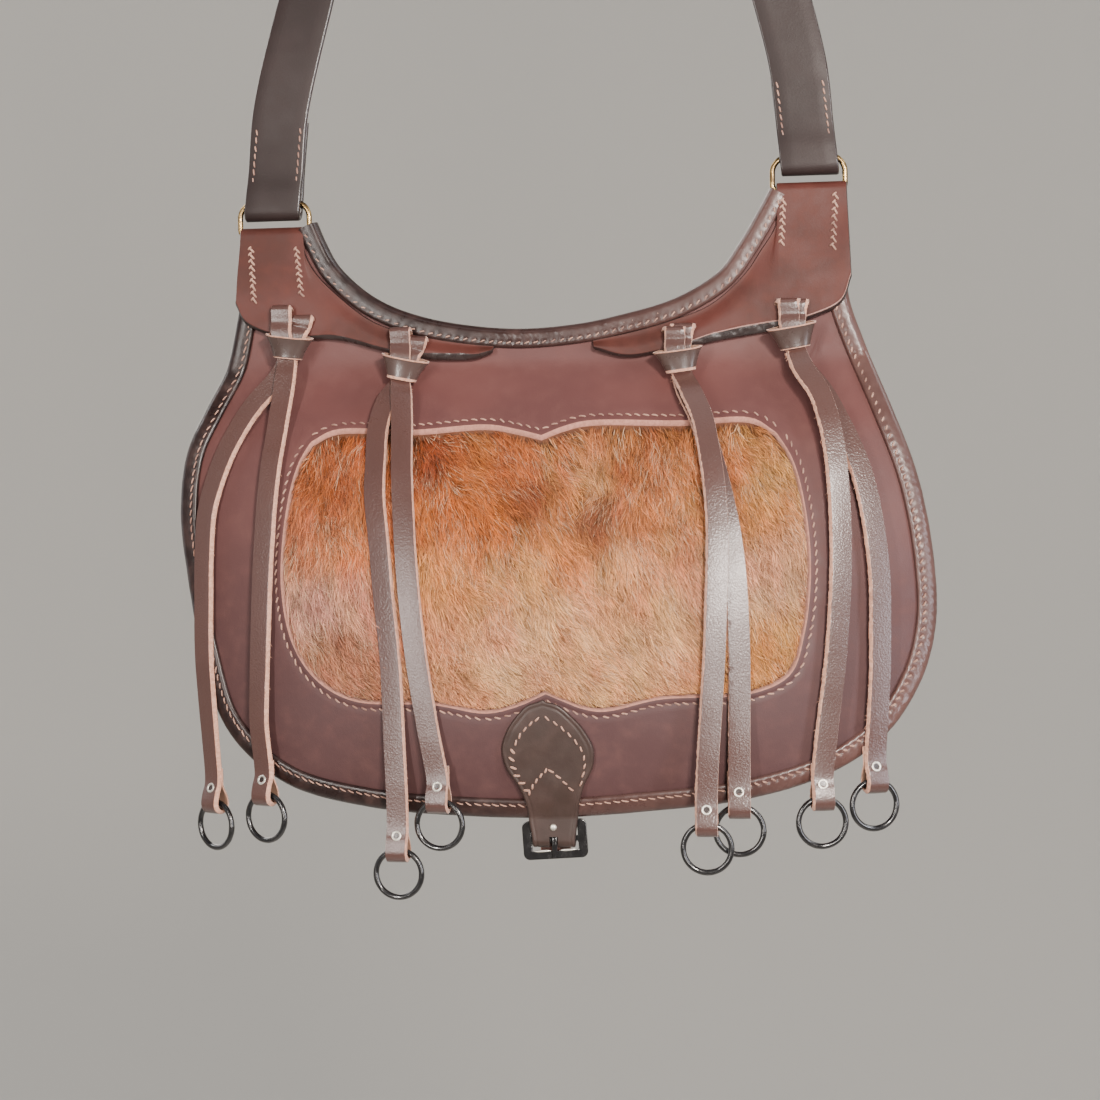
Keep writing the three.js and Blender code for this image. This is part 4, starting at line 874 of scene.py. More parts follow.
# x, z, sRGB colour of the hair there; the pale pinkish colours at mid height near both sides are painted
# sheen
COAT_AND_SHEEN = [
    (-122, -72, "#8e4a24"), (-100, -70, "#9a4e27"), (-128, -105, "#9c5b3b"), (-100, -105, "#b0663a"),
    (-125, -140, "#ae8070"), (-100, -135, "#b87e66"), (-118, -165, "#97614a"), (-95, -185, "#8f5d46"),
    (-66, -62, "#823f1f"), (-62, -90, "#a35526"), (-55, -120, "#bc7d49"), (-60, -160, "#b97d58"),
    (-40, -72, "#aa602e"), (-22, -66, "#a05a2e"), (-14, -84, "#7a4024"), (-30, -95, "#b0642e"),
    (-20, -125, "#c58a58"), (-20, -165, "#c4926a"), (5, -64, "#a9693f"), (22, -76, "#b27d50"),
    (12, -90, "#a8683c"), (22, -92, "#6b3a25"), (34, -90, "#7a452c"), (5, -115, "#c07c48"),
    (10, -150, "#c99468"), (20, -185, "#bb875e"), (45, -68, "#96562f"), (55, -90, "#ae6c40"),
    (50, -120, "#bd8258"), (60, -160, "#c08c64"), (90, -70, "#a5683c"), (100, -90, "#a9703f"),
    (118, -80, "#b07a48"), (95, -130, "#b98a6c"), (120, -125, "#ab8060"), (112, -165, "#b27640"),
    (100, -185, "#a97140"),
]


def mean_of_nearest(x, z, rows, values, reach=14.0):
    """Mean of the table's values, weighted by nearness."""
    rows = np.asarray(rows, float)
    out = np.zeros((len(x), values.shape[1]))
    total = np.zeros((len(x), 1))
    for (px, pz), value in zip(rows, values):
        weight = 1 / (((x - px) ** 2 + (z - pz) ** 2) / reach ** 2 + 0.05) ** 1.8
        out += weight[:, None] * value
        total += weight[:, None]
    return out / total


flow_places = [(x, z) for x, z, _ in FLOW]
flow_values = np.array([(math.sin(math.radians(a)), -math.cos(math.radians(a))) for _, _, a in FLOW])
coat_places = [(x, z) for x, z, _ in COAT_AND_SHEEN]
coat_and_sheen_values = np.array([colour(code)[:3] for _, _, code in COAT_AND_SHEEN])


def inside_window(x, z, spread):
    """Even-odd test against the window's outline."""
    loop = window_loop(spread, 30)
    inside = np.zeros(len(x), bool)
    for (ax, az), (bx, bz) in zip(loop, np.roll(loop, -1, axis=0)):
        crosses = (az > z) != (bz > z)
        with np.errstate(divide="ignore", invalid="ignore"):
            at = (bx - ax) * (z - az) / (bz - az) + ax
        inside ^= crosses & (x < at)
    return inside


# %% [markdown]
# The hair is laid in two coats, as on the animal: short dense underfur that hides the skin, and longer
# guard hairs over it with brighter tips. A hair's path is traced through the flow in three steps. Its root
# is at the hide's level, and it rises until it lies about a millimetre above the flap's face.

# %% Hairs
HAIR_STEPS = 3
HAIR_POINTS = 2 * HAIR_STEPS + 1  # a pair at the root and at each step but the last, which is one tip
TRIED = 1.75                      # roots tried for each one kept, as the window fills part of its box
ROOTS_X, ROOTS_Z = (-146, 144), (-207, -47)
MAP_CORNER, MAP_SIZE = np.array([-150.0, 0, -215]), np.array([300.0, 1, 180])


def hairs(count, length, width, lift, seed, bright, spread):
    """Points, quads, tips and colours of a coat; `lift` is how far it stands out from the flap's face."""
    random = np.random.RandomState(seed)
    x = random.uniform(*ROOTS_X, int(count * TRIED))
    z = random.uniform(*ROOTS_Z, int(count * TRIED))
    keep = inside_window(x, z, spread)
    x, z = x[keep][:count], z[keep][:count]
    number = len(x)
    tuft = np.stack([lattice_noise(x, z, 3.6, 101), lattice_noise(x, z, 3.6, 102)], 1)
    wave = np.stack([lattice_noise(x, z, 13, 103), lattice_noise(x, z, 13, 104)], 1)
    stray = random.normal(0, 1, (number, 2))
    long = length * np.clip(1 + random.normal(0, 0.22, number), 0.45, 1.7)[:, None]
    tone = mean_of_nearest(x, z, coat_places, coat_and_sheen_values)
    streak = 0.6 * lattice_noise(x, 0.4 * z, 4.5, 105) + 0.6 * lattice_noise(x, 0.5 * z, 1.9, 106)
    warmth = lattice_noise(x, 0.4 * z, 7, 108)
    tone = tone * np.stack([1 - 0.04 * warmth, 1 + 0.13 * warmth, 1 + 0.06 * warmth], 1)
    level = 0.97 + 0.52 * streak + random.normal(0, 0.42, number)
    tone = tone * np.clip(level, 0.30, 2.1)[:, None] * bright
    pale = np.clip(random.uniform(-5, 1, number) + 1.2 * lattice_noise(x, z, 9, 107), 0, 1)[:, None]
    tone = tone + pale * (np.array([0.62, 0.42, 0.28]) - tone) * 0.7
    root = np.stack([x, z], 1)

    def trace(long):
        position, path = root.copy(), [root.copy()]
        for step in range(1, HAIR_STEPS + 1):
            heading = mean_of_nearest(position[:, 0], position[:, 1], flow_places, flow_values)
            heading = unit(heading) + 0.38 * tuft + 0.30 * wave + 0.12 * stray * (0.6 + 0.5 * step)
            position = position + unit(heading) * long / HAIR_STEPS
            path.append(position.copy())
        return path

    path = trace(long)
    for shorter in (0.55, 0.35):                  # hair that would lie over the leather is cut back
        over = ~inside_window(path[-1][:, 0], path[-1][:, 1], 0.2)
        long = np.where(over[:, None], long * shorter, long)
        path = trace(long)
    kept = inside_window(path[-1][:, 0], path[-1][:, 1], 0.6)
    path, tone = [place[kept] for place in path], tone[kept]
    rise, number = [1.4, 0.2, -lift * 0.8, -lift], int(kept.sum())
    height = np.clip(1 + random.normal(0, 0.45, number), 0.2, 2.2)
    points = []
    for step, (place, depth) in enumerate(zip(path, rise)):
        level = depth if depth > 0 else depth * height
        points.append(layer(place[:, 0], place[:, 1], level))
    points = np.stack(points, 1)                  # hairs x stations x 3
    ways = unit(np.gradient(points, axis=1))
    out = unit(points * 0 + np.array([0, -1, 0.0]))
    turn = random.uniform(-0.9, 0.9, number)[:, None, None]
    side = unit(np.cross(ways, out) + out * turn)
    uneven = np.clip(1 + random.normal(0, 0.25, number), 0.5, 1.6)[:, None, None]
    widths = np.array([0.7, 1.0, 0.8])[None, :, None] * width * uneven / 2
    left, right = points[:, :3] - side[:, :3] * widths, points[:, :3] + side[:, :3] * widths
    vertices = np.concatenate([np.stack([left, right], 2).reshape(number, 6, 3), points[:, 3:4]], 1)
    base = np.arange(number)[:, None] * HAIR_POINTS
    quads = np.concatenate([base + [0, 1, 3, 2], base + [2, 3, 5, 4]], 0)
    tips = base + [4, 5, 6]
    tip_tone = np.clip(tone * 1.25 + 0.05, 0, 1)
    # painted shade: each hair is darkened to 0.45 of its colour at the root, deep in the coat
    shade = np.array([0.45, 0.45, 0.9, 0.9, 1.0, 1.0])[None, :, None] * tone[:, None]
    colours = np.concatenate([shade, tip_tone[:, None]], 1)
    return vertices.reshape(-1, 3), quads, tips, colours.reshape(-1, 3)


def hair_material():
    """Hair is a clear fibre over pigment: it shines along its length, and its tips are bleached."""
    material, tree, shader, places = new_material("deer_hair", {
        "Roughness": 0.42, "IOR": 1.5, "Specular IOR Level": 0.4, "Specular Tint": colour("#f6d3ae"),
        "Sheen Weight": 0.12, "Sheen Roughness": 0.4,
    })
    tone = add_node(tree, "VertexColor", layer_name="coat").outputs[0]
    fleck = between(tree, noise(tree, places, 0.9, 2.0, 0.5), 0.35, 0.7, 0.0, 0.25)
    drive(tree, shader, Base_Color=mix_colours(tree, fleck, tone, colour("#e9c8a4"), "SOFT_LIGHT"))
    return material


def floats(columns):
    return np.column_stack(columns).astype(np.float32).ravel()


def hair_piece(name, material, **settings):
    """A piece of loose hairs, with their colours and a flat map of the window for them."""
    vertices, quads, tips, colours = hairs(**settings)
    mesh = bpy.data.meshes.new(name)
    mesh.vertices.add(len(vertices))
    mesh.vertices.foreach_set("co", to_row(vertices).astype(np.float32).ravel())
    mesh.loops.add(quads.size + tips.size)
    mesh.loops.foreach_set("vertex_index", np.concatenate([quads.ravel(), tips.ravel()]).astype(np.int32))
    mesh.polygons.add(len(quads) + len(tips))
    starts = np.concatenate([np.arange(len(quads)) * 4, quads.size + np.arange(len(tips)) * 3])
    mesh.polygons.foreach_set("loop_start", starts.astype(np.int32))
    mesh.update(calc_edges=True)
    mesh.polygons.foreach_set("use_smooth", np.ones(len(mesh.polygons), bool))
    tones = mesh.color_attributes.new("coat", "FLOAT_COLOR", "POINT")
    tones.data.foreach_set("color", floats([colours, np.ones(len(colours))]))
    corners = np.empty(len(mesh.loops), np.int32)
    mesh.loops.foreach_get("vertex_index", corners)
    over = (vertices[corners] - MAP_CORNER) / MAP_SIZE
    mesh.uv_layers.new(name="OFBake").data.foreach_set("uv", floats([over[:, 0], over[:, 2]]))
    mesh.materials.append(material)
    piece = bpy.data.objects.new(name, mesh)
    bpy.context.scene.collection.objects.link(piece)
    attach(piece, "bag")
    print(name, len(quads) * 2 + len(tips), "triangles")
    return piece


def skin_material():
    """The skin between the hairs: dark as painted shade, so that parted fur looks deep."""
    material, tree, shader, places = new_material("deer_skin_in_painted_shade", {"Roughness": 0.8})
    tone = mix_colours(tree, noise(tree, places, 7, 4.0, 0.6), colour("#4a2a1c"), colour("#7a4b30"))
    drive(tree, shader, Base_Color=tone, Normal=bumped(tree, noise(tree, places, 1.5, 3.0, 0.6), 0.6, 0.3))
    return material


make_piece("fur_hide", shell(hide_grid, hide_back, closed=True), [skin_material(), lining],
           nodes=["fur_panel"])
hair = hair_material()
UNDERFUR = dict(count=30000, length=6.5, width=0.5, lift=0.5, spread=-0.5, bright=0.82)
GUARD = dict(count=32000, length=14.0, width=0.30, lift=1.25, spread=-1.5, bright=1.08)
hair_piece("fur_under_left", hair, seed=100, **UNDERFUR)
hair_piece("fur_guard_a", hair, seed=200, **GUARD)
hair_piece("fur_guard_b", hair, seed=300, **GUARD)

# %% [markdown]
# ## Bindings
# The edges are bound with a strip of thin calf: folded over the edge, glued, and stitched through with a
# thick thread close to its inner border. The strip is longer on the outside of a curve than on its
# inside, so it gathers: between two stitches it puffs up, and small slanting folds run from the stitches
# to the rolled edge. Here those folds are waves of 0.2 to 0.3 mm in the swept section.

# %% Bindings
BINDING_PITCH, BINDING_STITCH = 4.6, 8.1
BINDING_STATION = 0.62            # distance from one section to the next
ROLL = 3.5                        # how far in from the edge the strip starts to roll over
OVER = -GAP - 0.3


def binding_section(back_inner):
    """(d, n, outside) round the U: inward from the edge, below the face, and 1 where it is seen."""
    under = back_inner + GAP + 0.25
    front, back = OVER - BINDING_LEATHER, under + BINDING_LEATHER
    middle, high = (front + back) / 2, (back - front) / 2

    def rolled(angles, seen):
        return [(ROLL - ROLL * math.sin(a), middle - high * math.cos(a), seen) for a in angles]

    rows = [(BINDING_FRONT, OVER - 0.35, 0), (BINDING_FRONT - 0.15, OVER - 0.95, 0.3),
            (BINDING_FRONT - 0.6, front + 0.28, 1), (BINDING_FRONT - 1.3, front + 0.05, 1)]
    rows += [(d, front, 1) for d in (9.2, 8.7, 8.1, 7.5, 6.8, 6.0, 5.2, 4.3)]
    rows += rolled(np.linspace(0, np.pi / 2, 8), 1) + rolled(np.linspace(np.pi / 2, np.pi, 7)[1:], 0)
    rows += [(BINDING_BACK, back, 0), (BINDING_BACK, under, 0), (BINDING_COVER - GAP, under, 0),
             (BINDING_COVER - GAP, OVER, 0), (BINDING_FRONT, OVER, 0)]
    return np.array(rows)


def binding(line, side, place, back_inner, gather, seed):
    """The strip along a line; `place` puts (x, z, depth) in space, `gather` says how much it is gathered."""
    section = binding_section(back_inner)
    count = int(line.length / BINDING_STATION)
    shares = np.linspace(0, 1, count + 1)
    s = shares * line.length
    d, n, seen = (section[None, :, k] for k in range(3))
    s = s[:, None]
    pull = np.cos(2 * np.pi * s / BINDING_PITCH)
    at_row = np.exp(-((d - BINDING_STITCH) / 1.35) ** 2)
    outer = smooth_step(BINDING_STITCH - d, 0.4, 2.6) * smooth_step(d, -0.5, 1.8)
    roll = 0.75 * np.sin(np.pi * np.clip(d / (BINDING_FRONT - 0.4), 0, 1)) ** 0.8
    slanting = np.sin(2 * np.pi * (s + 0.75 * (BINDING_STITCH - d)) / BINDING_PITCH)
    strength = gather(shares)[:, None]
    puff = at_row * (0.22 * pull + 0.30) * (0.3 + 0.7 * strength) - roll
    uneven = 0.45 + 0.55 * lattice_noise(s + 0 * d, d * 2, 17, seed)
    puff = puff - outer * (0.20 * slanting * uneven) * strength
    puff = puff - outer * (0.05 + 0.11 * strength) * lattice_noise(s + 0.5 * d, d, 3.6, seed + 1)
    puff = puff - 0.12 * lattice_noise(s, d, 9, seed + 2)
    n = n + puff * seen
    flat = line.at(shares)
    into = inward(line, shares, side)
    x = flat[:, :1] + into[:, :1] * d
    z = flat[:, 1:] + into[:, 1:] * d
    return sweep(place(x, z, n + 0 * x))


def flat_place(x, z, n):
    return np.stack(np.broadcast_arrays(x, -FLAP_FACE + n, z), -1)


def flat_row(line, distance, side, depth, shares):
    """Places, ways and normals for a row of stitches on the flat neckline."""
    at = spread(line, shares, BINDING_PITCH)
    flat = inset(line, at, distance, side)
    ways = line.along(at)
    centres = flat_place(flat[:, 0], flat[:, 1], depth)
    return centres, np.column_stack([ways[:, 0], 0 * at, ways[:, 1]]), np.tile([0.0, -1.0, 0.0], (len(at), 1))


bound_rim = Line([(-172.6, 24), *FLAP_EDGE, (161.4, 25)])
bound_neck = Line([(-128.8, 65), *NECK_EDGE, (121.0, 75.5)])


def rim_gather(shares):
    """Most of the gathering is on the right side."""
    return 0.2 + 0.8 * smooth_step(shares, 0.55, 0.66) * (1 - 0.75 * smooth_step(shares, 0.84, 0.93))


def neck_gather(shares):
    return 0.1 + 0.7 * smooth_step(shares, 0.3, 0.45) * (1 - 0.8 * smooth_step(shares, 0.55, 0.8))


make_piece("flap_binding", binding(bound_rim, 1, layer, LEATHER, rim_gather, 31),
           [bound_edge], nodes=["flap_binding"])
make_piece("neck_binding", binding(bound_neck, -1, flat_place, FLAP_FACE, neck_gather, 41),
           [bound_edge], nodes=["neck_binding"])

# %% Stitches of the bindings
seat = OVER - BINDING_LEATHER - 0.28
edge_stitches = [
    stitches(*row_on_flap(bound_rim, BINDING_STITCH, 1, seat, (0.008, 0.62), BINDING_PITCH),
             length=4.1, slant=-15, radius=0.36, rise=0.5, seed=50),
    stitches(*row_on_flap(bound_rim, BINDING_STITCH, 1, seat, (0.62, 0.992), BINDING_PITCH),
             length=3.1, slant=-38, radius=0.50, rise=0.5, seed=53),
]
neck_stitches = [
    stitches(*flat_row(bound_neck, BINDING_STITCH, -1, seat, (0.01, 0.55)), length=2.9, slant=24, radius=0.34,
             rise=0.4, seed=51),
    stitches(*flat_row(bound_neck, BINDING_STITCH, -1, seat, (0.55, 0.99)), length=3.2, slant=30, radius=0.38,
             rise=0.42, seed=54),
    stitches(*flat_row(bound_neck, BINDING_STITCH - 3.0, -1, seat, (0.60, 0.97)), length=2.0, slant=62,
             radius=0.26, rise=0.3, seed=52),
]
make_piece("stitches_binding", join_parts(edge_stitches + neck_stitches), [thread])

# %% [markdown]
# ## Yokes and their links
# A yoke is one leather leaf: it rises into an ear, goes over the brass link and comes down behind, where
# it is stitched through all layers. It also stiffens the neckline and carries the cones. Its lower edge
# is cut thick and burnished dark. The leaf is a fan of ribs, as in the solid, with fine rows near the
# lower edge so that the burnished bevel and its small puckers can be shaped.

# %% Yoke tables
EAR_MID_Y = -2.4
ear_face = FLAP_FACE + GAP + LEATHER
fold_half = ear_face - LEATHER / 2 + EAR_MID_Y
LINK_WIDTH, LINK_WIRE, LINK_RISE, LINK_CORNER, LINK_SHOULDER = 42.0, 1.5, 18.0, 3.2, 8.5
link_lift = fold_half - LEATHER / 2 - LINK_WIRE - GAP


def fold_z(ear):
    """Height of the middle of the fold over the link."""
    return ear["top"] - fold_half - LEATHER / 2


def yoke_lift(share):
    """How far a yoke's back is from the flap, by the share of the way down a rib."""
    return GAP + 2.8 * smooth_step(share, 0.05, 0.7)


def rib_lines(ear):
    """Smooth functions of the rib's number for its top and low ends."""
    ribs = np.array(ear["ribs"], float)
    inner, low = by_number(ribs[3:, :2]), by_number(ribs[:, 2:])

    def top(u):
        outer = np.column_stack([np.interp(u, range(4), ribs[:4, 0]), np.interp(u, range(4), ribs[:4, 1])])
        return np.where((u < 3)[:, None], outer, inner(u - 3))

    return top, low


# How wide the burnished bevel is along the lower edge, and where a painted highlight lines its upper border,
# by rib.
BEVELS = {
    "left": dict(
        width=[(0, 1.0), (1.6, 1.1), (3.4, 1.5), (4.2, 2.3), (6.4, 2.0), (7.0, 1.6), (7.6, 3.6), (8.7, 4.2),
               (9.3, 2.2), (10, 1.4)],
        light=[(0, 0), (10, 0)],
    ),
    "right": dict(
        width=[(0, 1.0), (1.5, 1.1), (2.6, 2.0), (3.2, 4.2), (6.2, 4.6), (7.0, 3.0), (7.6, 1.4), (10, 1.2)],
        light=[(0, 1), (6.9, 1), (7.0, 0), (10, 0)],
    ),
}


def yoke(side, ear):
    """Makes one yoke, and gives the points of its outer face."""
    top, low = rib_lines(ear)
    u = np.linspace(0, 10, 141)                   # the rib's number
    t, b = top(u), low(u)
    t = t + unit(t - b) * (1.1 * smooth_step(u, 3.0, 3.7))[:, None]       # meets the binding
    length = np.linalg.norm(t - b, axis=1)
    bevel = table_curve(BEVELS[side]["width"])(u)
    light = np.interp(u, *zip(*BEVELS[side]["light"])) > 0.5
    thick, distances = [], []
    for share in np.arange(6) / 6:
        distances.append(bevel * share)
        thick.append(LEATHER * (0.45 + 0.55 * share ** 0.7) + 0 * u)
    distances += [bevel, bevel + 0.65, bevel + 1.2]
    thick += [LEATHER + 0 * u, LEATHER + 0.07 + 0 * u, LEATHER + 0 * u]
    start = distances[-1]
    for f in np.linspace(0, 1, 24)[1:]:
        distances.append(start + (length - start) * f)
        thick.append(LEATHER + 0 * u)
    front, back = [], []
    for number, (distance, height) in enumerate(zip(distances, thick)):
        share = 1 - distance / length
        x, z = t[:, 0] + (b[:, 0] - t[:, 0]) * share, t[:, 1] + (b[:, 1] - t[:, 1]) * share
        pucker = 0.22 * lattice_noise(x, z, 2.6, 61) * (bevel > 1.8) if 0 < number < 8 else 0.0
        slow = 0.25 * lattice_noise(x, z, 24, 62) * smooth_step(share, 0.1, 0.5)
        front.append(layer(x, z, -yoke_lift(share) - height - pucker - slow))
        back.append(layer(x, z, -yoke_lift(share) - 0 * x))
    x, z0 = top(u)[:, 0], fold_z(ear)
    for grid, radius in ((front, fold_half + LEATHER / 2), (back, fold_half - LEATHER / 2)):
        turns = np.radians(np.linspace(0, 180, 17)[1:])
        bend = [(-radius * math.cos(a), radius * math.sin(a)) for a in turns]
        bend += [(radius, -down) for down in (4, 8, 12, 16, 20, 24, 27, 30)]
        grid += [np.column_stack([x, EAR_MID_Y + y + 0 * x, z0 + z + 0 * x]) for y, z in bend]
    front, back = np.stack(front), np.stack(back)
    cells = np.ones((len(front) - 1, len(u) - 1), bool)
    leaf_rows = len(distances)
    cells[leaf_rows - 1:, u[1:] > 3.001] = False
    part = shell(front, back, cells, [(0.2, 0.30), (0.5, 0.42), (0.8, 0.30)], wall_material=1)
    wide = len(u) - 1
    part[2][:wide * 6] = 1
    # painted highlight: the row above the bevel takes the pale edge colour where `light` is set
    part[2][wide * 6:wide * 7] = np.where(light[:-1], 2, 0)
    name = "yoke_" + side
    make_piece(name, part, [yoke_hide, dark_edge_and_shade, painted_highlight_edge], nodes=[name])
    return front[:leaf_rows].reshape(-1, 3)


yoke_faces = np.vstack([yoke(side, ear) for side, ear in EARS.items()])


def on_yoke(x, z):
    """How far forward a yoke's outer face is at (x, z), from its own nearest points."""
    out = []
    for px, pz in zip(np.ravel(x), np.ravel(z)):
        away = (yoke_faces[:, 0] - px) ** 2 + (yoke_faces[:, 2] - pz) ** 2
        near = np.argpartition(away, 4)[:4]
        weight = 1 / (away[near] + 0.01)
        out.append((yoke_faces[near, 1] * weight).sum() / weight.sum())
    return np.array(out)


# %% [markdown]
# The rows of stitches on the ears are laced like a herringbone: every stitch is a thick slanting leg with
# a short one crossing its head, in thread pulled very tight.

# %% Stitches of the ears
def herringbone(top, low, pitch=3.75, seed=1, y=None):
    """Slanting beads with a short crossing bead at each, straight down the ear."""
    top, low = np.array(top, float), np.array(low, float)
    count = int(round(np.linalg.norm(low - top) / pitch))
    at = (np.arange(count) + 0.5)[:, None] / count
    flat = top + (low - top) * at
    way = unit(low - top)
    behind = y is not None
    depth = y + 0 * at[:, 0] if behind else on_yoke(flat[:, 0], flat[:, 1]) - 0.02
    centres = np.column_stack([flat[:, 0], depth, flat[:, 1]])
    ways = np.tile([way[0], 0, way[1]], (count, 1))
    out = np.tile([0.0, 1.0 if behind else -1.0, 0.0], (count, 1))
    across = np.cross(out, ways)
    return [stitches(centres + across * 0.2, ways, out, 4.3, 36, 0.58, 0.5, seed),
            stitches(centres - ways * 1.2 - across * 0.9, ways, out, 2.9, -46, 0.5, 0.55, seed + 1)]


EAR_SEAMS = [                     # upper and lower end of each row
    ((-165.5, 52), (-163.5, 20)), ((-139.8, 51), (-136.8, 23)),
    ((128.5, 69), (127.0, 43)), ((156.5, 71), (154.5, 40)),
]
ear_back = EAR_MID_Y + fold_half + LEATHER / 2 + 0.02
ear_rows = []
for number, (top, low) in enumerate(EAR_SEAMS):
    ear_rows += herringbone(top, low, seed=70 + 2 * number)
    ear_rows += herringbone((top[0], top[1] - 1), (low[0], top[1] - 24), seed=80 + number, y=ear_back)
make_piece("stitches_ears", join_parts(ear_rows), [thread])

# %% Links
def link(side, ear):
    """Wire ring with rounded corners, between the yoke and the shoulder strap."""
    half, high = LINK_WIDTH / 2 - LINK_WIRE, LINK_RISE / 2
    z0 = fold_z(ear) + link_lift + LINK_RISE / 2
    way = []
    for sx, sz, begin, r in ((1, -1, -90, LINK_CORNER), (1, 1, 0, LINK_SHOULDER),
                             (-1, 1, 90, LINK_SHOULDER), (-1, -1, 180, LINK_CORNER)):
        for a in np.radians(begin + np.linspace(0, 90, 14)):
            way.append((sx * (half - r) + r * math.cos(a), sz * (high - r) + r * math.sin(a)))
    way = np.array(way)
    along = unit(np.roll(way, -1, axis=0) - np.roll(way, 1, axis=0))
    out = np.column_stack([along[:, 1], -along[:, 0]])
    turns = np.linspace(0, 2 * np.pi, 14, endpoint=False)
    rings = np.stack([np.column_stack([
        ear["link"] + way[:, 0] + out[:, 0] * LINK_WIRE * math.cos(a),
        EAR_MID_Y + LINK_WIRE * math.sin(a) + 0 * way[:, 0],
        z0 + way[:, 1] + out[:, 1] * LINK_WIRE * math.cos(a),
    ]) for a in turns], 1)
    make_piece("link_" + side, sweep(rings, closed=True), [old_brass], nodes=["link_" + side])


for side, ear in EARS.items():
    link(side, ear)

# %% [markdown]
# ## Shoulder strap
# One long strap of bridle leather. Each end goes round the upper bar of its link, comes up behind and is
# stitched. Between them it rises to the shoulder and turns a quarter round, so that it lies flat there.

# %% Shoulder strap
STRAP_WIDTH, STRAP_THICK, STRAP_EYE, STRAP_TAIL = 31.0, 3.0, 2.0, 45.0
STRAP_LEAN = 0.1                  # sideways for each step up
# (share of the sideways way still to go, height as a share of the rise, turn in degrees)
STRAP_WAY = [
    (0, 1, 0), (0.14, 0.9, 4), (0.3, 0.765, 18), (0.45, 0.625, 38), (0.6, 0.475, 58), (0.75, 0.31, 75),
    (0.88, 0.16, 86), (0.96, 0.068, 90), (0.991, 0.028, 90),
]
SLACK = 5.6                       # the loop hangs a little below the link's upper bar
strap_pair, strap_top = (STRAP_THICK + GAP) / 2, HANG_HEIGHT + STRAP_THICK / 2


def strap_base(ear):
    """Height of the middle of a strap's eye."""
    return fold_z(ear) + link_lift + LINK_RISE + STRAP_EYE - LINK_WIRE - GAP


def strap_leg(ear, side):
    """(stitched end's places and widths, rising way's places and turns) of one side."""
    eye_half = STRAP_EYE + STRAP_THICK / 2
    z0 = strap_base(ear)

    def at(y, up):
        return ear["link"] - side * up * STRAP_LEAN, EAR_MID_Y + y, z0 + up

    turns = [at(-eye_half * math.cos(a), -eye_half * math.sin(a) - SLACK)
             for a in np.radians(range(180, -1, -30))]
    ends = [at(strap_pair, STRAP_TAIL), at(strap_pair, 16), at(eye_half * 0.9, 4), *turns,
            at(-eye_half * 0.9, 4), at(-strap_pair, 16)]
    start = at(-strap_pair, STRAP_TAIL + 4)
    rise = strap_top - start[2]
    rising = [(start[0] * share, start[1] * (1 - height), start[2] + rise * height, 180 + turn)
              for height, share, turn in STRAP_WAY]
    return ends, [(-side, 0.0, 0.0)] * len(ends), rising


def rounded_strap(half, thick, soft):
    """Section of a strap: (share of the half width, height), with kinds 1 at the cut edges."""
    inner, high, low = 1 - soft / half, thick / 2, -thick / 2
    round_x, round_z = 1 - soft * 0.3 / half, soft * 0.3
    rows = [(-inner, low), (-inner / 2, low), (0, low), (inner / 2, low), (inner, low),
            (round_x, low + round_z), (1, low + soft), (1, high - soft), (round_x, high - round_z),
            (inner, high), (inner / 2, high), (0, high), (-inner / 2, high), (-inner, high),
            (-round_x, high - round_z), (-1, high - soft), (-1, low + soft), (-round_x, low + round_z)]
    kinds = [0] * 4 + [1] * 5 + [0] * 4 + [1] * 5
    return rows, kinds


left_leg, right_leg = strap_leg(EARS["left"], -1), strap_leg(EARS["right"], 1)
over = np.array([*left_leg[2], (0, 0, strap_top, 270), *right_leg[2][::-1]])
over_along = unit(np.gradient(over[:, :3], axis=0))
over_normal = np.cross(over_along, (0, 1, 0))
over_turn = np.radians(over[:, 3:])
over_across = np.array([[0, 1, 0]]) * np.sin(over_turn) + over_normal * np.cos(over_turn)
strap_places = np.vstack([left_leg[0], over[:, :3], right_leg[0][::-1]])
strap_across = np.vstack([left_leg[1], over_across, right_leg[1][::-1]])
strap_section, strap_kinds = rounded_strap(STRAP_WIDTH / 2, STRAP_THICK, 0.9)
strap_part = ribbon(strap_places, strap_across, strap_section, STRAP_WIDTH / 2, 2.5, strap_kinds)
make_piece("shoulder_strap", strap_part, [shoulder_hide, dark_edge_and_shade],
           nodes=["shoulder_strap"])

strap_rows = []
for number, (ear, side) in enumerate(((EARS["left"], -1), (EARS["right"], 1))):
    ups = np.arange(12, STRAP_TAIL - 3, 4.4)
    ways = unit(np.tile([-side * STRAP_LEAN, 0, 1.0], (len(ups), 1)))
    for front in (-1, 1):
        y = EAR_MID_Y + front * (strap_pair + STRAP_THICK / 2)
        out = np.tile([0.0, float(front), 0.0], (len(ups), 1))
        for edge in (-1, 1):
            x = ear["link"] - side * ups * STRAP_LEAN + edge * (STRAP_WIDTH / 2 - 3.2)
            centres = np.column_stack([x, y + 0 * ups, strap_base(ear) + ups])
            strap_rows.append(stitches(centres, ways, out, 3.4, 12, 0.42, 0.35, 90 + number))
make_piece("stitches_strap", join_parts(strap_rows), [thread])

# %% [markdown]
# ## Cones that gather the straps
# Each cone is a strip of leather rolled and glued, wider at the top, that holds a pair of hanger straps.
# Its cut rims are left raw and show as thin pale rings; the front of the upper rim dips, because the roll
# is cut straight and stands round a curve. The outside is boned smooth, so it shines along its length.

# %% Cones
STACK = (LEATHER + 0.6) / 2       # from the middle of a pair to the middle of one strap
PAIR_HALF = STACK + LEATHER / 2
SQUEEZED, NARROW = 5.3, 5.6       # half the width of a strap in the cone's foot and above its rim
YOKE_TOP = GAP + 2.8 + LEATHER
CONE_RIM, CONE_FOOT, CONE_HEIGHT, CONE_WALL = (27.0, 12.6), (15.8, 9.2), 13.0, 1.4
CONE_SIDES = 72
CONES = [(-142.5, 2.5, -7), (-78, -11, -12), (70.5, -10, 7), (131.5, 1, 9)]       # x, z, lean in degrees


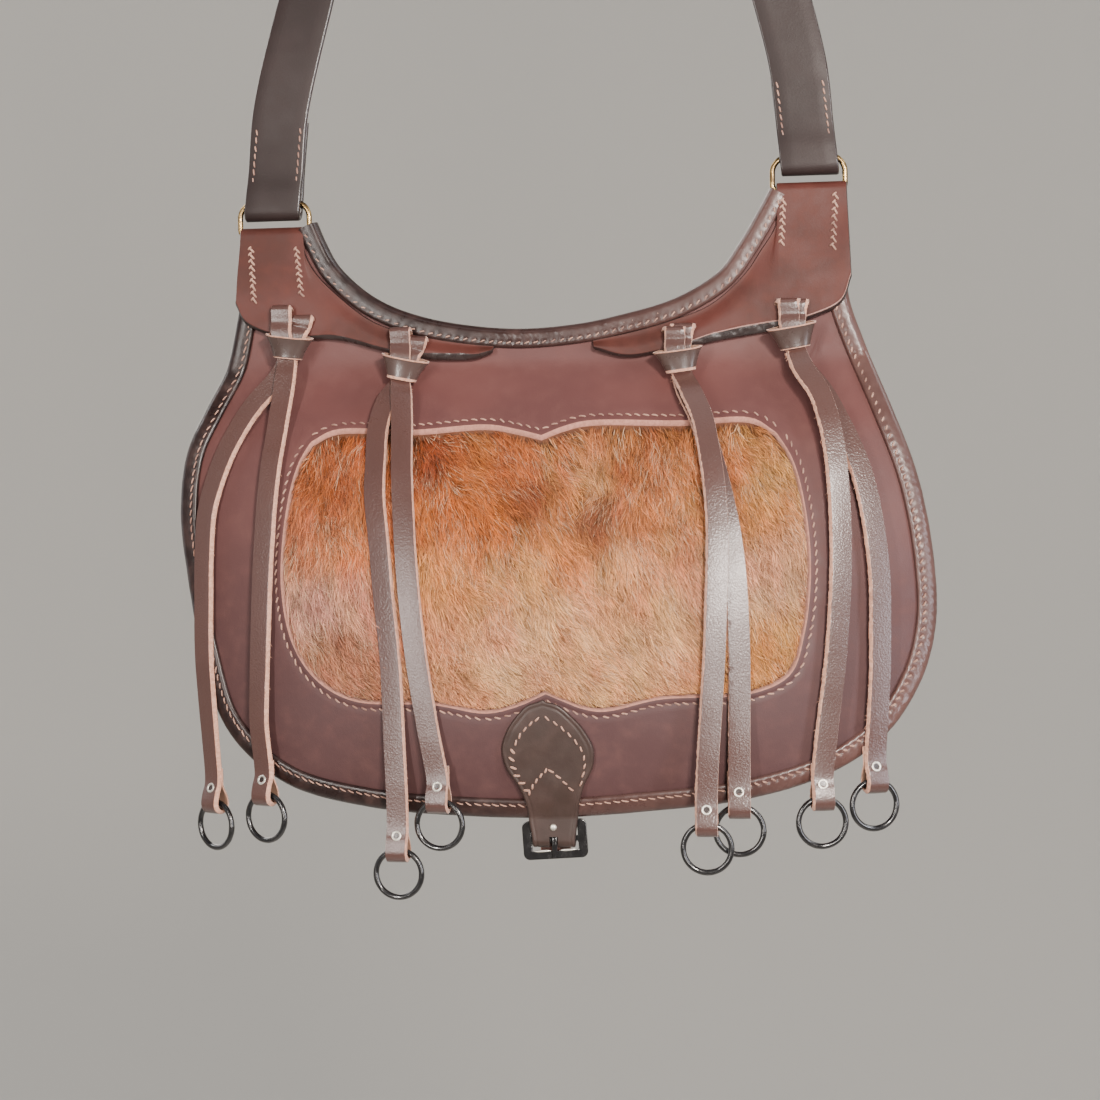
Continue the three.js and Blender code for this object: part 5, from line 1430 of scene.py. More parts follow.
def cone_axis(x, z, lean):
    """Middles of a cone's rim and foot, of the strap pair in its rim, and the direction across."""
    turn = math.radians(lean)
    foot = x + CONE_HEIGHT * math.sin(turn), z - CONE_HEIGHT * math.cos(turn)
    rim_back = max(plain_depth(x, z) + YOKE_TOP, plain_depth(x, z - 6) + 2) + GAP + 0.2
    foot_back = max(rim_back, plain_depth(*foot) + 2.8)
    return dict(
        rim=np.array([x, -rim_back - CONE_RIM[1] / 2, z]),
        foot=np.array([foot[0], -foot_back - CONE_FOOT[1] / 2, foot[1]]),
        pair=np.array([x, -rim_back - CONE_WALL - GAP - PAIR_HALF, z]),
        across=np.array([math.cos(turn), 0, math.sin(turn)]),
    )


cone_axes = [cone_axis(*row) for row in CONES]


def swelled(values, power):
    return np.sign(values) * np.abs(values) ** power


def cone(axis, seed, pale_foot):
    turns = np.linspace(0, 2 * np.pi, CONE_SIDES, endpoint=False)
    c, s = swelled(np.cos(turns), 0.85), swelled(np.sin(turns), 0.85)
    front = 0.5 - 0.5 * np.sin(turns)

    def ring(t, grow, flare=0.0):
        centre = axis["rim"] * (1 - t) + axis["foot"] * t
        waist = -0.35 * math.sin(math.pi * min(max(t, 0), 1))
        half_width = (CONE_RIM[0] * (1 - t) + CONE_FOOT[0] * t) / 2 + grow + waist + flare
        half_depth = (CONE_RIM[1] * (1 - t) + CONE_FOOT[1] * t) / 2 + grow + waist * 0.5 + flare
        uneven = 0.18 * lattice_noise(turns * 5, turns * 0 + t * 4, 2.5, seed)
        down = (1 - t) ** 2 * (2.3 * front + uneven) + t ** 2 * 0.9 * front
        return (centre + axis["across"] * (half_width * c)[:, None]
                + np.stack([0 * s, half_depth * s, -down], 1))

    # share of the way down, growth, flare: the upper rim, the outside, the foot, the inside and back again
    rows = [(0.0, -0.12, 0.1), (0.012, 0, 0.1), (0.085, 0, 0.06)]
    rows += [(t, 0, 0) for t in np.linspace(0.12, 0.9, 12)]
    rows += [(0.97, 0, 0.12), (1.0, -0.1, 0.12), (1.008, -0.45, 0)]
    rows += [(t, -CONE_WALL, 0) for t in (1.0, 0.7, 0.35, 0.05)]
    rows += [(0.0, -CONE_WALL + 0.15, 0), (-0.008, -0.7, 0.05)]
    kinds = [1, 1] + [0] * 12 + [int(pale_foot)] + [1] * 3 + [2] * 4 + [1] * 2
    rings = np.stack([ring(*row) for row in rows])
    faces = grid_faces(len(rows) + 1, CONE_SIDES, closed=True) % (len(rows) * CONE_SIDES)
    return rings.reshape(-1, 3), faces, np.repeat(kinds, CONE_SIDES)


cone_leather = leather("boned_calf_polished", "#4c3b37", "#423430", "#564540", 0.25, 1.0, 0.04, 0.02, 0.45,
                       patchy=0.3)
for number, axis in enumerate(cone_axes):
    name = f"cone_{number + 1}"
    part = cone(axis, 100 + number, number in (1, 2))
    make_piece(name, part, [cone_leather, cut_edge, lining], nodes=[name])

# %% [markdown]
# ## Hanger straps
# The straps are cut from bridle leather and left raw at the sides. A knife held aslant leaves one side
# sloping, so its pale middle faces the front. Each strap comes out of a slit in the yoke, bends over,
# goes through its cone and hangs free in front of the flap; its end is folded round a ring and riveted.
# The straps of the right pairs were cut with a dull knife, and are fringed with loose fibres.

# %% Ways of the straps
HANGER_HALF, HANGER_REST, LOOP_HOLE, TAIL = 5.8, 3.0, 3.4, 19.0
EYE_HALF = LOOP_HOLE + LEATHER / 2
FOLD_RISE = 11.0                  # the strap's end opens round its eye from this height
RING_DROP, RING_RADIUS, RING_WIRE = 11.6, 12.4, 1.55
# How far the sloping cut reaches in from the side, in millimetres.
CUT_SLOPES = {"1a": 1.6, "1b": 1.4, "2a": 0.9, "2b": 0.6, "3a": 1.0, "3b": 0.5, "4a": 1.3, "4b": 1.2}
# cone, layer (1 is the front one), slit's x and z, sideways place in the cone's mouth, stand-off, turn of the
# end in degrees, ring's z, and the way as (z, x)
HANGERS = {
    "1a": (0, -1, (-135.5, 10.5), 3.2, 1.2, -9, -252.5,
           [(-36, -162), (-66, -178), (-109, -187), (-164, -187), (-252, -183)]),
    "1b": (0, 1, (-147.2, 16), -5.0, 2.6, -8, -246.5,
           [(-37, -146), (-80, -150), (-155, -152), (-210, -153.5), (-246, -151)]),
    "2a": (1, -1, (-72.3, -3), 1.6, 0, 0, -274.5,
           [(-40, -90), (-78, -90.5), (-119, -86), (-173, -80), (-274, -77.5)]),
    "2b": (1, 1, (-81.5, 2.4), -3.2, 0, -5, -248.5,
           [(-36, -79), (-92, -74), (-146, -69), (-200, -61.5), (-248, -54.5)]),
    "3a": (2, 1, (69.0, -1.2), -1.6, 3.4, -7, -260.5,
           [(-40, 81), (-63, 87), (-110, 92), (-165, 90), (-260, 84.5)]),
    "3b": (2, -1, (73.4, 0.2), 1.6, 0, -9.5, -252.5,
           [(-45, 81), (-81, 92), (-120, 99.5), (-166, 102), (-252, 101)]),
    "4a": (3, 1, (130.2, 12), -1.0, 2.8, -5, -249.5,
           [(-41, 147.5), (-80, 154), (-123, 155.5), (-180, 151), (-249, 143.5)]),
    "4b": (3, -1, (134.4, 11.6), 2.2, 3, 0, -241.5,
           [(-41, 150.5), (-80, 167), (-120, 174), (-168, 175), (-241, 171)]),
}
WAY_STEPS = 11                    # places from the cone's foot down to the fold


def yoke_face(ear, x, z):
    """Outer face of a yoke at (x, z), as a depth in front of the back panel's plane."""
    nearest = []
    for top_x, top_z, low_x, low_z in ear["ribs"]:
        share = min(max((top_z - z) / (top_z - low_z), 0), 1)
        nearest.append((abs(top_x + (low_x - top_x) * share - x), share))
    return plain_depth(x, z) + yoke_lift(min(nearest)[1]) + LEATHER


def hanger_way(row):
    """Places, width directions and half widths down the strap, then its eye with the two directions there."""
    index, place, (slit_x, slit_z), aside, out, turn, eye_z, way = row
    axis = cone_axes[index]
    shift = np.array([0, -place * STACK, 0])
    ear = EARS["left" if index < 2 else "right"]
    face = yoke_face(ear, slit_x, slit_z)
    stacked = 2 * STACK if place > 0 else 0
    over_yoke = max(face, yoke_face(ear, slit_x, slit_z - 5)) + GAP + LEATHER / 2 + stacked
    mouth = axis["pair"] + axis["across"] * aside

    def lying(z, y):
        share = min(max((z - mouth[2]) / max(slit_z - mouth[2], 1), 0), 1)
        return (mouth[0] + (slit_x - mouth[0]) * share, -y, z), (1.0, 0, 0), NARROW

    up = unit(axis["pair"] - axis["foot"])

    def through(rise, at, half):
        return tuple(at + up * rise + shift), tuple(axis["across"]), half

    rows = [lying(slit_z - 2.2, face - 2.6), lying(slit_z - 0.4, face - 1.4), lying(slit_z + 1.0, face + 0.2),
            lying(slit_z + 1.6, (face + over_yoke) / 2 + 0.6), lying(slit_z + 0.6, over_yoke + 0.8),
            lying(slit_z - 1.8, over_yoke + 0.9), lying((slit_z * 0.5 + mouth[2] * 0.5), over_yoke + 0.4)]
    rows += [through(0.6, mouth, NARROW), through(-0.8, axis["foot"], SQUEEZED)]
    foot = np.array(rows[-1][0])
    partner = next(r for r in HANGERS.values() if r[0] == index and r[1] != place)
    x_at, partner_at = (table_curve([(foot[2], foot[0]), *table]) for table in (way, partner[7]))
    depth = -foot[1]
    for i in range(1, WAY_STEPS + 1):
        down = i / WAY_STEPS
        z = foot[2] + (eye_z + FOLD_RISE - foot[2]) * down ** 1.3
        x = float(x_at(z))
        apart = smooth_step(abs(x - partner_at(z)), 12.6, 15.6)
        stack = (2 * STACK + 0.2 + partner[4]) * (1 - apart) if place > 0 else 0
        depth = max(depth, plain_depth(x, z) + (HANGER_REST + out + stack) * steepness(x, z))
        tilt = side_slope(x, max(z, -180))
        lay = -8 if (index, place) == (1, -1) else 0
        twist = math.radians(turn * smooth_step(down, 0.7, 1) + lay * math.sin(math.pi * i / WAY_STEPS))
        w = unit(np.array([1, -tilt, 0.0]))
        c, s = math.cos(twist), math.sin(twist)
        rows.append(((x, -float(depth), z), (w[0] * c - w[1] * s, w[0] * s + w[1] * c, 0), HANGER_HALF))
    places, across, halves = (np.array([row[k] for row in rows]) for k in range(3))
    for _ in range(3):                            # stiff leather bends slowly
        y = places[-WAY_STEPS - 1:, 1]
        places[-WAY_STEPS:-1, 1] = (y[:-2] + 2 * y[1:-1] + y[2:]) / 4
    w = across[-1]
    front = unit(np.array([w[1], -w[0], 0]))
    eye = np.array([places[-1][0], places[-1][1], eye_z]) - front * STACK
    return places, across, halves, eye, w, front


# %% Straps
def hanger(name, row, seed):
    """Makes one strap, and gives the middle of its eye, the direction along its width and the one ahead."""
    places, across, halves, eye, w, front = hanger_way(row)

    def at(ahead, up):
        return eye + front * ahead + np.array([0, 0, up])

    end = [at(STACK, FOLD_RISE), at(EYE_HALF * 0.74, 5.6)]
    end += [at(EYE_HALF * math.cos(a), EYE_HALF * math.sin(a))
            for a in np.radians([12, -18, -48, -78, -102, -132, -162, -192])]
    pressed = STACK - LEATHER - 0.05
    end += [at(-EYE_HALF * 0.7, 5.0), at(pressed, 9.5), at(pressed, TAIL - 4), at(pressed, TAIL)]
    places = np.vstack([places[:-1], end])
    across = np.vstack([across[:-1], np.tile(w, (len(end), 1))])
    halves = np.concatenate([halves[:-1], np.full(len(end), HANGER_HALF)])
    side = 1 if row[0] < 2 else -1
    high = LEATHER / 2
    bare = CUT_SLOPES[name[-2:]] / HANGER_HALF
    back = [(-0.97, -high), (-0.5, -high), (0, -high), (0.5, -high), (0.97, -high)]
    slope = [(1.0, -high + 0.3), (1 - 0.07 * bare, -0.35), (1 - 0.45 * bare, 0.35),
             (1 - 0.85 * bare, high - 0.12)]
    face = [(1 - bare, high), (0.99 - bare * 1.25, high + 0.02), (0.4, high + 0.06), (0, high + 0.09),
            (-0.5, high + 0.06)]
    plain = [(-0.975, high), (-1.0, high - 0.4), (-1.0, -high + 0.3)]
    section = back + slope + face + plain
    kinds = [2] * 4 + [1] * 5 + [0] * 5 + [1] * 3
    section = np.array(section) * (side, 1)
    random = np.random.RandomState(seed)
    fuzz = 0.08 if side > 0 else 0.26

    def ragged(rings, p, w, face):
        """Rough sides, uneven leather and a slow sideways wave; the numbers count the section's points."""
        length = np.concatenate([[0], np.cumsum(np.linalg.norm(np.diff(p, axis=0), axis=1))])
        for k in range(4, 10):
            jitter = lattice_noise(length, 0 * length + 3 * k, 1.6, seed + 1)
            jitter = jitter + 0.6 * random.uniform(-1, 1, len(p))
            rings[:, k] += w * (jitter * fuzz * side * (1 if 4 < k < 9 else 0.6))[:, None]
        if side < 0:                              # both edges are torn pale where it leaves the slit
            rings[:, 14] += w * (1.3 * (1 - smooth_step(length, 9, 15)))[:, None] * side
            flare = w * (1 - smooth_step(length, 4, 12))[:, None]
            rings[:, 4:9] += (flare * 2.0 * side)[:, None]
            rings[:, 14:17] -= (flare * 1.2 * side)[:, None]
        for k in range(9, 15):
            rings[:, k] += face * (0.10 * lattice_noise(length, 0 * length, 14, seed + 2))[:, None]
        bow = 0.35 * lattice_noise(length, 0 * length, 34, seed + 3) * smooth_step(length, 30, 60)
        return rings + (w * bow[:, None])[:, None]

    part = ribbon(places, across, section, halves, 0.9, kinds, ragged)
    make_piece(name, part, [bridle, cut_edge, lining], nodes=[name])
    return eye, w, front


strap_ends = {}
for number, (key, row) in enumerate(HANGERS.items()):
    strap_ends[key] = hanger("hanger_" + key, row, 110 + 5 * number)
print("straps:", len(strap_ends))

# %% [markdown]
# Loose fibres are thin tapered slivers that stick out of the raw side at random, bent by their own weight.

# %% Fibres
FIBRES = {"1a": 60, "1b": 60, "2a": 40, "2b": 40, "3a": 200, "3b": 80, "4a": 260, "4b": 200}
SLIVER_POINTS = 7


def fibres(row, seed, count, low=0.4, high=0.97):
    """Slivers along the sloping side of a strap, between two shares of its way."""
    places, across, halves, *_ = hanger_way(row)
    side = 1 if row[0] < 2 else -1
    random = np.random.RandomState(seed)
    way = by_number(np.column_stack([places, across, halves]))
    at = random.uniform(low, high, count) * (len(places) - 1)
    at = np.maximum(at, 8.2)
    here = way(at)
    w = unit(here[:, 3:6]) * side
    along = unit(way(at + 0.05)[:, :3] - here[:, :3])
    face = np.cross(along, w * side)
    root = here[:, :3] + w * (HANGER_HALF - 0.5) + face * random.uniform(-0.7, 0.7, (count, 1))
    lean = random.normal(0, 0.8, (count, 1))
    long = np.clip(random.exponential(0.55, (count, 1)), 0.15, 2.2) + 0.4
    way_out = unit(w + along * lean + face * random.normal(0, 0.5, (count, 1)))
    middle = root + way_out * long * 0.6 + np.array([0, 0, -0.1]) * long
    tip = root + way_out * long + np.array([0, 0, -0.35]) * long
    thick = unit(np.cross(way_out, face + w * 0.3)) * random.uniform(0.07, 0.16, (count, 1))
    depth = face * 0.08
    points = np.stack([root - thick, root + thick, root + depth, middle - thick * 0.7, middle + thick * 0.7,
                       middle + depth, tip], 1).reshape(-1, 3)
    base = np.arange(count)[:, None] * SLIVER_POINTS
    faces = np.concatenate([base + [0, 1, 4, 3], base + [1, 2, 5, 4], base + [2, 0, 3, 5]]).tolist()
    faces += np.concatenate([base + [3, 4, 6], base + [4, 5, 6], base + [5, 3, 6], base + [0, 2, 1]]).tolist()
    return points, faces, np.zeros(len(faces), int)


fringe = [fibres(HANGERS[key], 140 + number, count) for number, (key, count) in enumerate(FIBRES.items())]
make_piece("fibres_hangers", join_parts(fringe), [cut_edge])

# %% [markdown]
# ## Eyelets and rings
# The folded ends are closed with a small nickel eyelet: a rolled washer with a dark disc of painted shade in
# its hole. The game rings are welded steel wire, never quite even. Every ring turns in its loop, so it rides
# on its own body.

# %% Eyelets and rings
LATHE_SIDES = 32
# (radius, height) of the rolled washer, of the dark disc of painted shade in its hole and of the clenched
# back
EYELET_ROLL = [(2.7, 0.0), (2.74, 0.1), (2.66, 0.24), (2.45, 0.34), (2.15, 0.38), (1.85, 0.34), (1.62, 0.22),
               (1.5, 0.02)]
EYELET_SHADE_DISC = [(1.49, 0.04), (0.9, 0.03), (0.02, 0.02)]
EYELET_BACK = [(2.8, 0), (2.85, 0.3), (2.2, 0.75), (1.5, 0.6), (0.02, 0.5)]


def lathe(profile, seat, axis):
    """Turns (radius, height) round an axis through a seat."""
    axis = unit(np.asarray(axis, float))
    u = unit(np.cross(axis, (0, 0, 1.0) if abs(axis[2]) < 0.9 else (1.0, 0, 0)))
    v = np.cross(axis, u)
    turns = np.linspace(0, 2 * np.pi, LATHE_SIDES, endpoint=False)
    return np.stack([seat + axis * h + r * (np.cos(turns)[:, None] * u + np.sin(turns)[:, None] * v)
                     for r, h in profile])


def eyelet(key, eye, front):
    lean = unit(front + np.array([0, 0, 0.33]))
    seat = eye + front * 2.35 + np.array([0, 0, 8.4]) + lean * (LEATHER / 2 + 0.02)
    washer = sweep(lathe(EYELET_ROLL, seat, lean), caps=False)
    # a dark disc in the hole: painted shade
    points = lathe(EYELET_SHADE_DISC, seat, lean).reshape(-1, 3)
    faces = grid_faces(len(EYELET_SHADE_DISC), LATHE_SIDES, closed=True)
    shade_disc = points, faces, np.ones(len(faces), int)
    behind = eye - front * (STACK + LEATHER / 2 + 0.1) + np.array([0, 0, 9.4])
    back = sweep(lathe(EYELET_BACK, behind, -front), caps=False)
    name = "eyelet_" + key
    make_piece(name, join_parts([washer, shade_disc, back]), [nickel_plate, dark_edge_and_shade], nodes=[name])


def game_ring(key, eye, w, seed):
    down = np.array([0, 0, -1.0])
    through = np.cross(w, down)
    turns = np.linspace(0, 2 * np.pi, 96, endpoint=False)
    centre = eye + down * RING_DROP
    out = np.cos(turns)[:, None] * w + np.sin(turns)[:, None] * down
    way, still = turns * 12, turns * 0
    uneven = 1 + 0.035 * lattice_noise(way, still, 6, seed) + 0.02 * lattice_noise(way, still, 2, seed + 1)
    rings = np.stack([centre + out * (RING_RADIUS + RING_WIRE * uneven * math.cos(a))[:, None]
                      + through * (RING_WIRE * uneven * math.sin(a))[:, None]
                      for a in np.linspace(0, 2 * np.pi, 18, endpoint=False)], 1)
    name = "ring_" + key
    make_piece(name, sweep(rings, closed=True), [black_steel], body=name, nodes=[name])


for number, (key, (eye, w, front)) in enumerate(strap_ends.items()):
    eyelet(key, eye, front)
    game_ring(key, eye, w, 160 + number)
print("pieces so far:", len(made))

# %% [markdown]
# ## Closure tab
# The tab is sewn on the flap by its pointed upper part and folded round the buckle's middle bar below. It
# has a creased line along its burnished edge, thick stitches set well in from it, and a chevron of
# stitches where the free part begins.

# %% Tab
TAB_X, TAB_THICK = 4.0, 2.0
BUCKLE_X, BUCKLE_Z, BUCKLE_WIDTH, BUCKLE_HEIGHT = 4.4, -269.4, 34.0, 20.4
BUCKLE_SIDE, BUCKLE_BAR, BUCKLE_MID, BUCKLE_DEPTH, LOWER_BAR = 4.8, 3.6, 2.6, 2.6, 4.3
PRONG_WIDTH, PRONG_THICK, PRONG_EYE = 3.0, 1.3, 2.25
TAB = [  # z, half the width, stand-off from the flap
    (-195.3, 0.5, 0.35), (-198, 7.7, 0.35), (-203, 13.6, 0.35), (-211, 20, 0.35), (-222, 24, 0.4),
    (-231, 22.4, 0.7), (-239, 17.6, 1.6), (-247, 14.4, 2.5), (-256, 12.9, 2.6),
]
# z of the tab's point, of the end of the finer rows below it, and of the last row of its outline
TAB_TOP, TAB_WIDE, TAB_LOW = -195.3, -203.0, -256.0
tab_half = table_curve([(z, half) for z, half, _ in TAB])
tab_off = table_curve([(z, off) for z, _, off in TAB])
tab_lean = table_curve([(-278, 0), (-250, 0), (-236, -0.8), (-222, -1.6), (-209, -2.7), (-195, -3.7)])


def tab_middle(z):
    """Middle of the tab's leather on its middle line."""
    z = np.asarray(z, float)
    return layer(TAB_X + 0 * z, z, -tab_off(z) - TAB_THICK / 2, plain_depth)


bar_half = PRONG_EYE - 0.05 + TAB_THICK / 2
bar_y = float(tab_middle([TAB_LOW])[0, 1]) + bar_half

upper_z = np.concatenate([np.linspace(TAB_TOP, TAB_WIDE, 18), np.linspace(TAB_WIDE, TAB_LOW, 60)[1:]])
tab_path = tab_middle(upper_z)[:, 1:]
tab_widths = tab_half(upper_z)
turns = np.radians(np.linspace(180, 360, 19))
loop = np.column_stack([bar_y + bar_half * np.cos(turns), BUCKLE_Z + bar_half * np.sin(turns)])
between_path = np.linspace(tab_path[-1], loop[0], 8)[1:-1]
tail = np.column_stack([np.full(5, loop[-1, 0]), np.linspace(BUCKLE_Z, BUCKLE_Z + 8.6, 6)[1:]])
tab_path = np.vstack([tab_path, between_path, loop, tail])
tab_widths = np.concatenate([tab_widths, np.linspace(12.8, 11.4, len(between_path)),
                             np.full(len(loop) + len(tail), 11.2)])
tab_along = unit(np.gradient(tab_path, axis=0))
tab_face = np.column_stack([tab_along[:, 1], -tab_along[:, 0]])
middle_columns = np.array([-0.6, -0.45, -0.32, -0.196, -0.1, 0, 0.1, 0.196, 0.32, 0.45, 0.6])
edge_columns = 1 - 0.4 * (1 - np.sin(np.linspace(0, np.pi / 2, 17)[1:]))
columns_u = np.concatenate([-edge_columns[::-1], middle_columns, edge_columns])
tab_u = np.clip(columns_u, -1, 1)
flat_x = tab_u[None] * tab_widths[:, None]
travel = np.concatenate([[0], np.cumsum(np.linalg.norm(np.diff(tab_path, axis=0), axis=1))])
rim_points = np.vstack([np.column_stack([-tab_widths, travel]), np.column_stack([tab_widths, travel])])


def rim_distance(x, s):
    """Distance on the flat leather from the tab's edge."""
    near = np.full(x.shape, 1e9)
    for px, ps in rim_points:
        near = np.minimum(near, (x - px) ** 2 + (s - ps) ** 2)
    return np.sqrt(near)


tab_e = rim_distance(flat_x, np.broadcast_to(travel[:, None], flat_x.shape))
tab_e[travel > travel[-1] - 1] = np.maximum(tab_e[travel > travel[-1] - 1], 0)
height = TAB_THICK - 0.7 * np.clip(1 - tab_e / 0.9, 0, 1) ** 2 - 0.26 * np.exp(-((tab_e - 2.3) / 0.5) ** 2)
height += 0.12 * lattice_noise(flat_x + 40, travel[:, None] + 0 * flat_x, 9, 171)


def tab_grid(offset):
    y = tab_path[:, :1] + tab_face[:, :1] * offset
    z = tab_path[:, 1:] + tab_face[:, 1:] * offset
    return np.stack(np.broadcast_arrays(TAB_X + tab_lean(tab_path[:, 1])[:, None] + flat_x, y, z), -1)


front, back = tab_grid(height - TAB_THICK / 2), tab_grid(-TAB_THICK / 2 + 0 * height)
if front[5, 20, 1] > back[5, 20, 1]:
    front, back = tab_grid(-(height - TAB_THICK / 2)), tab_grid(TAB_THICK / 2 + 0 * height)
    tab_face = -tab_face
loop_rows = (tab_path[:-1, 1] < BUCKLE_Z + 3.2) & (np.arange(len(tab_path) - 1) < len(tab_path) - 3)
slit_columns = (tab_u[:-1] > -0.2) & (tab_u[1:] < 0.2)
cells = ~(loop_rows[:, None] & slit_columns[None])
tab_part = shell(front, back, cells, [(0.3, 0.16), (0.7, 0.16)], wall_material=1)
make_piece("tab", tab_part, [tab_hide, dark_edge_and_shade], nodes=["tab"])


def on_tab(x, z, rise=0.0):
    """Place on the tab's outer face at x from its middle line and height z."""
    middle = tab_middle(z)
    along = unit(tab_middle(np.asarray(z) - 0.5)[:, 1:] - tab_middle(np.asarray(z) + 0.5)[:, 1:])
    out = np.column_stack([np.zeros(len(middle)), along[:, 1], -along[:, 0]])
    out *= np.where(out[:, 1:2] > 0, -1, 1)
    return middle + np.column_stack([x + tab_lean(z), 0 * x, 0 * x]) + out * (TAB_THICK / 2 + rise), out


def tab_row(points, pitch, **settings):
    """Stitches along a line of (x, z) on the tab."""
    line = Line(points)
    count = int(line.length / pitch)
    at = (np.arange(count) + 0.5) / count
    flat, ways = line.at(at), line.along(at)
    centres, out = on_tab(flat[:, 0], flat[:, 1])
    ahead, _ = on_tab(flat[:, 0] + ways[:, 0] * 0.3, flat[:, 1] + ways[:, 1] * 0.3)
    return stitches(centres, unit(ahead - centres), out, **settings)


tab_seams = [
    tab_row([(0, -203.5), (7.5, -208.5), (13.5, -214.5), (18, -221.5), (18.8, -228), (17.2, -235),
             (15.2, -240.5)], 4.5, length=3.3, slant=-14, radius=0.45, seed=180),
    tab_row([(-1.5, -203.8), (-8, -208), (-13.5, -213.5), (-17.2, -219)], 4.4,
            length=3.3, slant=16, radius=0.5, seed=181),
    tab_row([(-17.6, -219.5), (-19.2, -226), (-17.8, -233), (-14, -239.5), (-11.5, -243.6)], 4.3,
            length=3.7, slant=52, radius=0.62, seed=182),
    tab_row([(-12.4, -244.5), (-8.1, -238), (-0.6, -230.6)], 3.4, length=3.0, slant=20, radius=0.55,
            seed=183),
    tab_row([(-0.6, -230.8), (5.6, -236), (12.0, -242.8)], 4.3, length=3.2, slant=12, radius=0.5, seed=184),
]
make_piece("stitches_tab", join_parts(tab_seams), [thread])

# %% [markdown]
# ## Buckle
# A heavy rectangular frame with a middle bar, cast and japanned black. Its edges are rounded, and two
# bright steel strips on the upper edge of the lower bar are painted glints.

# %% Buckle
ASKEW = 0.055                     # it hangs a little askew
HANG_TILT = np.array([[1, ASKEW], [-ASKEW, 1]])
BUCKLE_EDGE = 0.4                 # radius of the frame's edges
GLINT_STATIONS, GLINT_SIDES = 9, 10


def rounded_rectangle(x0, z0, x1, z1, r, per=6):
    corners = ((x1 - r, z0 + r, -90), (x1 - r, z1 - r, 0), (x0 + r, z1 - r, 90), (x0 + r, z0 + r, 180))
    turned = [(x, z, math.radians(begin + 90 * k / per)) for x, z, begin in corners for k in range(per + 1)]
    return [(x + r * math.cos(a), z + r * math.sin(a)) for x, z, a in turned]


def frame_curve():
    """Flat curve with two openings, given depth and a rounded edge."""
    curve = bpy.data.curves.new("buckle_frame", "CURVE")
    curve.dimensions, curve.fill_mode = "2D", "BOTH"
    half, high, middle = BUCKLE_WIDTH / 2 - BUCKLE_EDGE, BUCKLE_HEIGHT / 2, BUCKLE_MID / 2 - BUCKLE_EDGE
    inner = BUCKLE_WIDTH / 2 - BUCKLE_SIDE + BUCKLE_EDGE
    outlines = [
        rounded_rectangle(-half, -high + BUCKLE_EDGE, half, high - BUCKLE_EDGE, 3.0),
        rounded_rectangle(-inner, middle, inner, high - BUCKLE_BAR + BUCKLE_EDGE, 1.2),
        rounded_rectangle(-inner, -high + LOWER_BAR - BUCKLE_EDGE, inner, -middle, 1.2),
    ]
    for outline in outlines:
        spline = curve.splines.new("POLY")
        spline.points.add(len(outline) - 1)
        spline.use_cyclic_u = True
        for point, (x, z) in zip(spline.points, outline):
            point.co = (x * MILLIMETRE, z * MILLIMETRE, 0, 1)
    curve.extrude = (BUCKLE_DEPTH / 2 - BUCKLE_EDGE) * MILLIMETRE
    curve.bevel_depth, curve.bevel_resolution = BUCKLE_EDGE * MILLIMETRE, 3
    item = bpy.data.objects.new("buckle_frame_curve", curve)
    bpy.context.scene.collection.objects.link(item)
    mesh = bpy.data.meshes.new_from_object(item)
    bpy.data.objects.remove(item)
    bpy.data.curves.remove(curve)
    flat = np.array([v.co[:] for v in mesh.vertices]) / MILLIMETRE
    flat[:, :2] = flat[:, :2] @ HANG_TILT
    points = np.column_stack([BUCKLE_X + flat[:, 0], bar_y - flat[:, 2], BUCKLE_Z + flat[:, 1]])
    faces = [list(p.vertices) for p in mesh.polygons]
    bpy.data.meshes.remove(mesh)
    return points, faces, np.zeros(len(faces), int)


make_piece("buckle_frame", frame_curve(), [black_steel], nodes=["buckle_frame"], sharp=35)
# two bright steel strips on the lower bar's upper edge stand in for glints: painted highlight
glint_steel = bare_metal("steel_painted_glint", "#e6e2da", "#c2bdb4", 0.38, 0.5, 2.0)
rubs_and_glints = []
for low, high in ((-11.0, -2.3), (2.3, 11.2)):
    places = np.column_stack([
        np.linspace(BUCKLE_X + low, BUCKLE_X + high, GLINT_STATIONS),
        np.full(GLINT_STATIONS, bar_y - BUCKLE_DEPTH / 2 + 0.45),
        np.full(GLINT_STATIONS, BUCKLE_Z - BUCKLE_HEIGHT / 2 + LOWER_BAR + 0.05),
    ])
    turns = np.linspace(0, 2 * np.pi, GLINT_SIDES, endpoint=False)
    taper = np.array([0.15, 0.7, 1, 1, 1, 1, 1, 0.7, 0.15])[:, None, None]
    circle = np.stack([np.zeros(GLINT_SIDES), 0.6 * np.cos(turns), 0.75 * np.sin(turns)], 1)[None] * taper
    places[:, 2] += ASKEW * (places[:, 0] - BUCKLE_X)
    rubs_and_glints.append(sweep(places[:, None] + circle))
make_piece("buckle_painted_glints", join_parts(rubs_and_glints), [glint_steel])

# %% Prong and rivet
def prong():
    """Flat bar, bent round the middle bar of the buckle and resting on the lower one."""
    mid = PRONG_EYE + PRONG_THICK / 2

    def at(y, z):
        return BUCKLE_X, bar_y + y, BUCKLE_Z + z

    way = [at(mid * math.cos(a), mid * math.sin(a)) for a in np.radians(range(-60, 181, 15))]
    rest = -(BUCKLE_DEPTH / 2 + GAP + PRONG_THICK / 2)
    way += [at(-mid, -1.2), at(-mid, -2.5), at(rest - 0.35, -4.8), at(rest - 0.2, -6.4), at(rest, -8.4),
            at(rest, -9.6)]
    turns = np.linspace(0, 2 * np.pi, 16, endpoint=False)
    section = np.column_stack([swelled(np.cos(turns), 0.6), swelled(np.sin(turns), 0.8) * PRONG_THICK / 2])
    halves = np.concatenate([np.full(len(way) - 4, PRONG_WIDTH / 2), [1.4, 1.3, 1.15, 0.95]])
    return ribbon(way, np.tile([1.0, 0, 0], (len(way), 1)), section, halves, 0.6)


